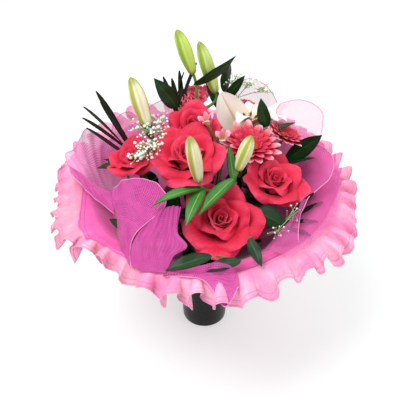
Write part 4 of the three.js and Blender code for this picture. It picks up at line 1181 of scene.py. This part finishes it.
def petal(turn, root, length, half, lean, roll, shingle, curl=0.0, phase=0.0, drop=0.2, frill=0.0):
    """A petal about +Z: it leans out by lean = (at its root, at its top), wraps the ones inside it, overlaps
    its neighbour by shingle, and rolls back along its rim by roll = (at its middle, at its corners)."""
    def point(u, v):
        across = 2 * u - 1
        side = np.abs(across)
        reach = length * (1 - drop * side ** 3.2 + 0.06 * np.exp(-((across / 0.22) ** 2)))
        angle = lean[0] + (lean[1] - lean[0]) * v ** 1.15
        angle = angle + ease(v, 0.62, 1.0) * mix(roll[0], roll[1], side ** 1.4)
        step = 1 / (v.shape[0] - 1)
        sin, cos = np.sin(angle), np.cos(angle)
        out = np.zeros_like(v)
        up = np.zeros_like(v)
        out[1:] = np.cumsum((sin[1:] + sin[:-1]) / 2 * step, axis=0)
        up[1:] = np.cumsum((cos[1:] + cos[:-1]) / 2 * step, axis=0)
        out, up = root + out * reach, 1 + up * reach
        width = half * np.sin(math.pi * (0.08 + 0.6 * v)) ** 0.8 * across
        bowl = np.maximum(np.maximum(out, root) * 0.95 + half * 0.12, half * 0.3)
        away = -(shingle * across * (0.3 + v)) + curl * side ** 3.5 * v
        away = away + frill * v * v * np.sin(3.2 * math.pi * across + phase)
        turned_out = out - bowl * (1 - np.cos(width / bowl)) + away * cos
        height = up - away * sin
        sideways = bowl * np.sin(width / bowl)
        c, s = math.cos(turn), math.sin(turn)
        return np.stack([turned_out * c - sideways * s, turned_out * s + sideways * c, height], -1)

    return point


def rose_heart(radius):
    """One long petal rolled round itself, closed in at the middle, its rim turned out further round."""
    turns = 3.2

    def point(u, v):
        scallop = 0.05 * np.cos(TURN * 3 * turns * u) * u
        out = radius * (0.02 + 0.25 * u) * (1 + (0.75 * u - 0.3) * v * v)
        out = out + radius * 0.06 * ease(v, 0.78, 1.0) * (0.2 + u)
        return polar(out, TURN * turns * u, radius * (0.04 + 0.06 * u + (0.74 - 0.2 * u + scallop) * v))

    # Its tone of 0.6 has the rose petal material paint the heart darker: painted shade.
    return surface("heart", point, 130, 16, tone=0.6)


# A rose's petals from the heart, at 0, to the outermost, at 1.
ROSE_AGES = (0, 0.25, 0.45, 0.7, 1)
ROSE_ROWS = (
    (0.05, 0.1, 0.18, 0.42, 0.6),  # the lean at the root
    (-0.06, 0.16, 0.5, 1.05, 1.28),  # and at the top
    (0.78, 0.85, 0.95, 1.1, 1.14),  # the length, as a share of the radius
    (0.4, 0.5, 0.6, 0.72, 0.76),  # the half width, likewise
    (0.2, 0.3, 0.4, 0.3, 0.15),  # the rim's roll at its middle
    (0.6, 1.3, 1.8, 1.8, 1.6),  # and at its corners
)


def make_roses():
    for name, face, facing, radius in ROSES:
        foot = np.array(face) - unit(facing) * ROSE_DEPTH * radius
        opens, facing = OPENS.get(name, (1.0, facing))
        radius = radius * opens
        own = np.random.default_rng(abs(int(face[0] * 7 + face[2])))
        count = 16 if radius > 45 else 14  # the two largest have more petals
        petals = [rose_heart(radius)]
        for k in range(count):
            age = k / (count - 1)
            lean_root, lean_top, length, half, middle_roll, corner_roll = (
                np.interp(age, ROSE_AGES, row) for row in ROSE_ROWS)
            shape = petal(
                turn=k * GOLDEN_TURN + own.uniform(-0.18, 0.18),
                root=radius * mix(0.1, 0.22, age),
                length=radius * length * own.uniform(0.95, 1.04),
                half=radius * half * own.uniform(0.93, 1.05),
                lean=(lean_root, lean_top * own.uniform(0.9, 1.06)),
                roll=(middle_roll * own.uniform(0.4, 1.5), corner_roll * own.uniform(0.75, 1.2)),
                shingle=radius * mix(0.03, 0.07, age),
                curl=radius * mix(0.02, 0.06, age),
                phase=own.uniform(0, TURN),
                frill=radius * 0.014,
            )
            # Inner petals take a higher tone, which the rose petal material paints darker: painted shade deep
            # in the bloom.
            petals.append(surface("petal", shape, 20, 18, tone=own.uniform(0, 0.5) + 0.4 * (1 - age)))
        outline = [(0, 0), (radius * 0.2, 0.2), (radius * 0.33, radius * 0.04), (radius * 0.33, 3),
                   (radius * 0.2, radius * 0.12), (0, radius * 0.14)]
        cup = turned("cup", outline, 24)
        whole = bloom(name + "_petals", petals, 0.7, rose_petal, cup, foot, facing)
        settle(whole, [name])


# ------------------------------------------------------------------ carnations


def make_carnations():
    for name, face, facing, radius in CARNATIONS:
        foot = np.array(face) - unit(facing) * radius
        own = np.random.default_rng(5 + radius)
        opens, facing = OPENS[name]
        radius = radius * opens
        petals = []
        for k in range(CARNATION_PETALS):
            age = k / (CARNATION_PETALS - 1)
            teeth = own.uniform(0, TURN)
            base = petal(
                turn=k * GOLDEN_TURN,
                root=radius * mix(0.04, 0.2, age),
                length=radius * mix(0.95, 0.85, age),
                half=radius * mix(0.3, 0.5, age),
                lean=(mix(0.0, 0.3, age), mix(0.15, 1.5, age)),
                roll=(0.2, 0.5),
                shingle=radius * 0.03,
                frill=radius * 0.1,
                phase=teeth,
            )

            def toothed(u, v, base=base, teeth=teeth):
                spots = base(u, v)
                zig = np.abs(((u * 7 + teeth) % 1) - 0.5) * 2
                return spots + UP * (radius * 0.07 * zig * ease(v, 0.85, 1.0))[..., None]

            petals.append(surface("petal", toothed, 20, 8, tone=own.uniform(0, 1)))
        outline = [(0, 0), (radius * 0.16, 0.2), (radius * 0.22, radius * 0.3), (0, radius * 0.5)]
        cup = turned("cup", outline, 20)
        whole = bloom(name + "_petals", petals, 0.5, carnation_petal, cup, foot, facing)
        settle(whole, [name])


# ------------------------------------------------------------------ gerberas


def make_gerberas():
    for name, face, facing, radius in GERBERAS:
        own = np.random.default_rng(9 + radius)
        eye = radius * EYE_SHARE
        rays = []
        for ring, (count, share, wide, rise, tone) in enumerate(GERBERA_RINGS):
            for k in range(count):
                turn = (k + ring * 0.5) * TURN / count + own.uniform(-0.09, 0.09)
                length = (radius * share - eye * 0.9) * own.uniform(0.86, 1.04)
                tilt = rise * own.uniform(0.8, 1.25)
                root = eye * mix(0.95, 0.8, ring / 3)
                knots = []
                for s in (0, 0.55, 1):
                    knots.append(polar(root + length * s, turn, ring * 0.9 + length * s * (tilt + 0.15 * s)))

                def half(t, widest=radius * wide):
                    return widest * np.sin(math.pi * (0.1 + 0.8 * t)) ** 0.7 * (1 - 0.3 * t ** 5)

                shape = blade(
                    bend3(*knots),
                    polar(1.0, turn - TURN / 4),
                    half,
                    cup=lambda t: 0.5 + 0 * t,
                    drop=0.06,
                    lift=lambda s, t: 0.25 * np.cos(3 * math.pi * s) * t,
                )
                rays.append(surface("ray", shape, 6, 8, tone=tone * own.uniform(0.7, 1)))
        cup = turned("cup", [(0, -4), (2.6, -4), (eye + 2, -0.6), (eye + 2, 0.4), (0, 0.5)], 24)
        whole = bloom(name + "_rays", rays, 0.5, gerbera_ray, cup, face, facing)
        settle(whole, [name])
        make_eye(name, face, facing, radius)


def make_eye(name, face, facing, radius):
    """A gerbera's disc: a low dome set with florets, deeper in tone towards its middle."""
    bpy.ops.mesh.primitive_ico_sphere_add(subdivisions=1, radius=radius * 0.028 * MM)
    floret = bpy.context.object
    floret.data.transform(Matrix.Diagonal((1, 1, 1.7, 1)))
    disc = radius * EYE_SHARE - 0.6
    places = []
    for k in range(EYE_FLORETS):
        share = math.sqrt((k + 0.5) / EYE_FLORETS)
        spot = polar(disc * share, k * GOLDEN_TURN, disc * 0.42 * math.sqrt(1 - 0.92 * share ** 2))
        places.append(Matrix.Translation(Vector(spot) * MM))
    florets = copies(floret, places)
    for k, one in enumerate(florets):
        set_tone(one, min(1, math.sqrt(k / EYE_FLORETS) * 1.1))
    dome = turned("dome", [(0, 0), (disc, 0), (disc * 0.98, disc * 0.1), (disc * 0.8, disc * 0.28),
                           (disc * 0.4, disc * 0.38), (0, disc * 0.42)], 32, tone=0.2)
    centre = joined(name + "_disc", [dome, *florets])
    coat(centre, gerbera_disc)
    set_down(centre, np.array(face) + unit(facing) * (0.6 + GAP), facing)
    settle(centre, [name + "_eye"])


# ------------------------------------------------------------------ leaves, lilies


def leaf(stem_end, tip, wide, arch, roll=0.0, **rest):
    """A leaf from where it starts to its tip, arched up by arch and rolled about its length by degrees."""
    foot = np.asarray(rest.get("from", rest.get("held", stem_end)), float)
    end = np.asarray(tip, float)
    run = end - foot
    side = spun(unit(np.cross(run, UP)), unit(run), math.radians(roll))
    middle = (foot + end) / 2 + unit(np.cross(side, run)) * arch
    shape = blade(
        bend3(foot, middle, end),
        side,
        lambda t: (wide / 2) * (0.05 + 0.97 * np.sin(math.pi * t ** 0.8) ** 0.8) * (1 - 0.6 * t ** 12),
        lift=lambda s, t: wide * (0.14 * np.abs(s) + 0.03 * np.sin(11 * t + 2 * s)) * np.sin(math.pi * t),
        rise=clear_of_lining,
    )
    return surface("leaf", shape, 10, 22)


def leafy(name, stem, leaves, skin, extra=()):
    """A stem with its leaves and any stalks, as one piece."""
    blades = [coat(thicken(one, 0.8), skin) for one in leaves]
    rods = [coat(rod, green_stem) for rod in [stem.rod(), *extra]]
    whole = joined(name + "_growth", [*blades, *rods])
    settle(whole, [stem.name])


def petioles(stem_end, leaves):
    """The thin stalk of each leaf that stands off its stem."""
    made = []
    for one in leaves:
        if "held" in one:
            root, end = np.asarray(stem_end, float), np.array(one["held"], float)
            at, _ = bend3(root, (root + end) / 2 + (0, 0, 4), end)
            made.append(tube("petiole", at(np.linspace(0, 1, 10)), 1.0, 8))
    return made


def undergrowth(stem, count, low, high, reach, wide, seed):
    """Leaves set round a stem by the golden angle, which fill the space under the blooms; dark, they also
    stand in for the shade there.
    """
    own = np.random.default_rng(seed)
    made = []
    for k in range(count):
        root = stem.at(mix(low, high, (k + 0.5) / count))
        long = reach * own.uniform(0.85, 1.15)
        tip = root + polar(long * 0.75, k * GOLDEN_TURN + seed, long * own.uniform(0.3, 0.7))
        made.append(leaf(root, tip, wide * own.uniform(0.9, 1.15), long * 0.12, own.uniform(-35, 35)))
    return made


def bud_shape(foot, tip, radius, tone):
    """A closed bud about +Z, ridged along its three outer tepals."""
    length = np.linalg.norm(np.subtract(tip, foot))
    profile = np.array([
        (0, 0), (0.25, 0.005), (0.46, 0.03), (0.66, 0.12), (0.84, 0.26), (0.96, 0.42),
        (1, 0.56), (0.93, 0.7), (0.78, 0.82), (0.56, 0.91), (0.3, 0.975), (0, 1),
    ])
    heights = np.linspace(0, 1, 31)
    radii = np.interp(heights, profile[:, 1], profile[:, 0])
    radii = np.convolve(np.pad(radii, 1, mode="edge"), [0.25, 0.5, 0.25], "valid")
    radii[0] = radii[-1] = 0

    def point(u, v):
        k = np.rint(v * 30).astype(int)
        angle = TURN * u
        swell = 1 + 0.1 * np.cos(3 * angle) - 0.07 * np.cos(6 * angle) + 0.03 * np.cos(9 * angle)
        return polar(radius * radii[k] * swell, angle + 0.25 * v, length * heights[k])

    return surface("bud", point, 48, 30, closed=True, tone=tone)


def stalk(a, b, facing, radius):
    """A side stem from a to the foot of a head at b."""
    at, _ = bend3(a, b - facing * np.linalg.norm(b - a) * 0.45, b)
    return tube("stalk", at(np.linspace(0, 1, 12)), radius)


def make_lilies():
    for lily in LILIES:
        fork, facing = np.array(lily["fork"], float), unit(lily["facing"])
        below = fork - facing * 2
        stalks = []
        for k, (foot, tip, radius, tone) in enumerate(lily["buds"], 1):
            node = f"{lily['name']}_bud_{k}"
            points = unit(np.subtract(tip, foot))
            bud = coat(bud_shape(foot, tip, radius * 0.93, tone), lily_bud)
            bud.name = node + "_tepals"
            set_down(bud, foot, points)
            settle(bud, [node], 70)
            stalks.append(stalk(below, np.array(foot) - points * GAP, points, 2))
        leaves = [leaf(below, **one) for one in lily["leaves"]]
        skin = dark_leaf if lily["name"] == "lily_back" else fresh_leaf
        stalks += petioles(below, lily["leaves"])
        leafy(lily["name"], STEMS[lily["name"] + "_stem"], leaves, skin, stalks)


def make_open_lily():
    up = unit(OPEN_LILY["facing"])
    depth = OPEN_LILY["depth"]
    foot = np.array(OPEN_LILY["face"]) - up * depth
    tepals = []
    for k, (turn, length, half, high, twist) in enumerate(TEPALS):
        angle = math.radians(turn)
        inner = 0 if k % 2 else 1
        knots = (
            polar(4.6 - 1.6 * inner, angle, 4 + inner),
            polar(4 + length * np.interp(high, (0.9, 1.6), (0.16, 0.7)), angle,
                  depth * np.interp(high, (0.9, 1.6), (1.35, 0.75))),
            polar(length, angle, depth * high),
        )
        shape = blade(
            bend3(*knots),
            polar(1.0, angle - TURN / 4 + twist),
            lambda t, half=half: half * (0.1 + 0.95 * np.sin(math.pi * t ** 0.9) ** 0.8),
            cup=lambda t, twist=twist: 0.4 - 0.2 * abs(twist) + 0 * t,
            lift=lambda s, t: (
                1.2 * np.sin(9 * t) * s * s - 0.9 * np.exp(-((s / 0.12) ** 2)) * np.sin(math.pi * t)),
        )
        tepals.append(surface("tepal", shape, 16, 24, tone=0.3 * inner))
    throat = turned("throat", [(0, 0), (3.4, 0), (4.6, 3), (5.5, 6), (0, 8)], 20)
    whole = bloom("lily_open_tepals", tepals, 0.8, lily_tepal, throat, foot, up)
    settle(whole, ["lily_open"])
    tuft = [coat(turned("tuft", [(0, 0), (2.6, 0), (2.4, 2), (0, 3)], 16), green_stem)]
    for k in range(6):
        angle = k * math.pi / 3 + 0.3
        tip = polar(11.0, angle, depth * 0.62)
        at, _ = bend3(polar(1.7, angle, 1), polar(4.0, angle, depth * 0.4), tip)
        tuft.append(coat(tube("filament", at(np.linspace(0, 1, 10)), 0.6, 6), green_stem))
        anther = turned("anther", ANTHER, 10)
        tilt = Matrix.Rotation(angle, 4, "Z") @ Matrix.Rotation(1.1, 4, "Y")
        anther.data.transform(Matrix.Translation(Vector(tip) * MM) @ tilt)
        tuft.append(coat(anther, lily_pollen))
    stamens = joined("lily_open_stamen_tuft", tuft)
    set_down(stamens, foot + up * (8 + GAP), up)
    settle(stamens, ["lily_open_stamens"])


# ------------------------------------------------------------------ alstroemeria, stems, foliage, gypsophila


def make_alstroemeria():
    fork, facing = np.array(ALSTROEMERIA["fork"], float), unit(ALSTROEMERIA["facing"])
    stalks = []
    for name, face, way, radius in ALSTROEMERIA_BLOOMS:
        way = unit(way)
        foot = np.array(face) - way * radius
        petals = []
        for ring, (turn, root, lean, reach, wide) in enumerate(ALSTROEMERIA_RINGS):
            for k in range(3):
                shape = petal(
                    turn=turn + k * TURN / 3, root=root, length=radius * reach, half=radius * wide,
                    lean=(0.2, lean), roll=(0.6, 0.9), shingle=0.3, drop=0.3, frill=0.3,
                )
                petals.append(surface("petal", shape, 10, 12, tone=ring * 0.6))
        cup = turned("cup", [(0, 0), (1.6, 0), (3.6, 2.6), (0, 2.8)], 16)
        whole = bloom(name + "_petals", petals, 0.6, alstroemeria_petal, cup, foot, way)
        settle(whole, [name])
        stalks.append(stalk(fork - facing * 2, foot - way * GAP, way, 1.2))
    rods = [coat(rod, green_stem) for rod in [STEMS["alstroemeria_stem"].rod(), *stalks]]
    settle(joined("alstroemeria_stalks", rods), ["alstroemeria_stem"])


def make_plain_stems():
    names = [name + "_stem" for name, *_ in [*ROSES, *CARNATIONS, *GERBERAS]] + ["lily_open_stem"]
    for k, name in enumerate(names):
        parts = [coat(STEMS[name].rod(), green_stem)]
        if name.startswith(("rose", "gerbera")):
            # Dark leaves low on the stem, which also stand in for the shade between the blooms.
            made = undergrowth(STEMS[name], 7, 0.5, 0.88, 40, 24, k)
            parts += [coat(thicken(one, 0.8), dark_leaf) for one in made]
        settle(joined(name + "_stalk", parts), [name])


def make_foliage():
    for name, _, leaves in FOLIAGE:
        stem = STEMS[name]
        made = [leaf(stem.at(0.985 - 0.05 * k), **one) for k, one in enumerate(leaves)]
        if name in UNDERGROWTH:
            made += undergrowth(stem, UNDERGROWTH[name], 0.5, 0.92, 38, 20, len(name))
        leafy(name, stem, made, dark_leaf, petioles(stem.at(0.985), leaves))
    for name, _, half, tips in DARK_BLADES:
        stem = STEMS[name]
        made = []
        for k, tip in enumerate(tips):
            a, b = stem.at(0.98 - 0.05 * k), np.array(tip, float)
            middle = (a + b) / 2
            middle[2] = mix(a[2], b[2], 0.6)
            shape = blade(
                bend3(a, middle, b), np.cross(b - a, UP),
                lambda t, half=half: (0.9 + half * np.sin(math.pi * t ** 1.5) ** 0.7) * (1 - 0.2 * t),
                lift=lambda s, t: 0.6 * np.abs(s), rise=clear_of_lining,
            )
            made.append(surface("blade", shape, 4, 14))
        leafy(name, stem, made, dried_blade)


def make_gypsophila():
    """Sprays: a thread to each cloud of florets, and a finer one from it to every floret."""
    for name, top, count, scale, clouds in GYPSOPHILA:
        bpy.ops.mesh.primitive_ico_sphere_add(subdivisions=2, radius=1)
        ball = bpy.context.object
        rough = np.random.default_rng(3)
        for vertex in ball.data.vertices:
            vertex.co *= rough.uniform(0.8, 1.1)
        own = np.random.default_rng(int(top[2]))
        foot = np.array(top, float) - (0, 0, 2)
        places, threads = [], []
        for cloud in clouds:
            middle = np.array(cloud, float)
            at, _ = bend3(foot, (foot + middle) / 2 + (0, 0, 2), middle)
            threads.append(tube("thread", at(np.linspace(0, 1, 6)), 0.6, 6))
            for k in range(count):
                spot = middle + polar(own.uniform(2, 15), k * GOLDEN_TURN, own.uniform(-5, 9))
                size = own.choice((0.9, 1.2, 1.6, 2.3)) * scale
                flattened = Matrix.Diagonal((size * MM, size * MM, size * 0.8 * MM, 1))
                places.append(Matrix.Translation(Vector(spot) * MM) @ flattened)
                root = at(own.uniform(0.5, 0.95))
                path = np.stack([root, (root + spot) / 2 + (0, 0, 0.6), spot])
                threads.append(tube("thread", path, 0.32, 4))
        florets = [coat(one, gypsophila_floret) for one in copies(ball, places)]
        for one in florets:
            set_tone(one, 0.5)
        rods = [coat(one, pale_thread) for one in [STEMS[name].rod(), *threads]]
        settle(joined(name + "_spray", [*rods, *florets]), [name])


# ------------------------------------------------------------------ assembly

make_vase()
make_collar()
make_nets()
make_roses()
make_carnations()
make_gerberas()
make_lilies()
make_open_lily()
make_alstroemeria()
make_plain_stems()
make_foliage()
make_gypsophila()

# ------------------------------------------------------------------ floor and light


# Soft lamps: where each stands in metres, how wide it is, and its power in watts.
LAMPS = {
    "key_light": ((-0.6, -0.5, 1.8), 0.9, 24),
    "fill_light": ((1.2, -0.9, 1.3), 1.4, 9),
    "back_light": ((0.2, 1.2, 1.6), 1.4, 8),
}
LAMPS_AIM = (0, 0, 0.2)


def paper_finish():
    """White paper: matt, with some light of its own so that shadows stay pale."""
    made, tree = start(
        "white paper", Roughness=0.9, Specular_IOR_Level=0.1,
        Emission_Strength=0.45, Emission_Color=(1, 1, 1, 1),
    )
    place = add(tree, "TexCoord", out="Object")
    grain = add(tree, "TexNoise", {"Vector": place, "Scale": every(250), "Detail": 2})
    last = add(tree, "Mix", {0: grain, 6: linear("#c0cac6"), 7: linear("#c5ceca")}, 2, **COLOURS)
    return finished(made, Base_Color=last)


def make_stage():
    bpy.ops.mesh.primitive_plane_add(size=8, location=(0, 0, 0))
    floor = bpy.context.object
    floor.name = "floor"
    coat(floor, paper_finish())
    world = bpy.data.worlds.new("studio")
    world.use_nodes = True
    sky = world.node_tree.nodes["Background"]
    sky.inputs["Color"].default_value = (1, 1, 1, 1)
    sky.inputs["Strength"].default_value = 0.55
    bpy.context.scene.world = world
    for name, (place, size, power) in LAMPS.items():
        bpy.ops.object.light_add(type="AREA", location=place)
        lamp = bpy.context.object
        lamp.name = name
        lamp.data.size = size
        lamp.data.energy = power
        lamp.rotation_euler = (Vector(LAMPS_AIM) - Vector(place)).to_track_quat("-Z", "Y").to_euler()
    bpy.context.scene.view_settings.view_transform = "Standard"


make_stage()
bpy.context.view_layer.update()
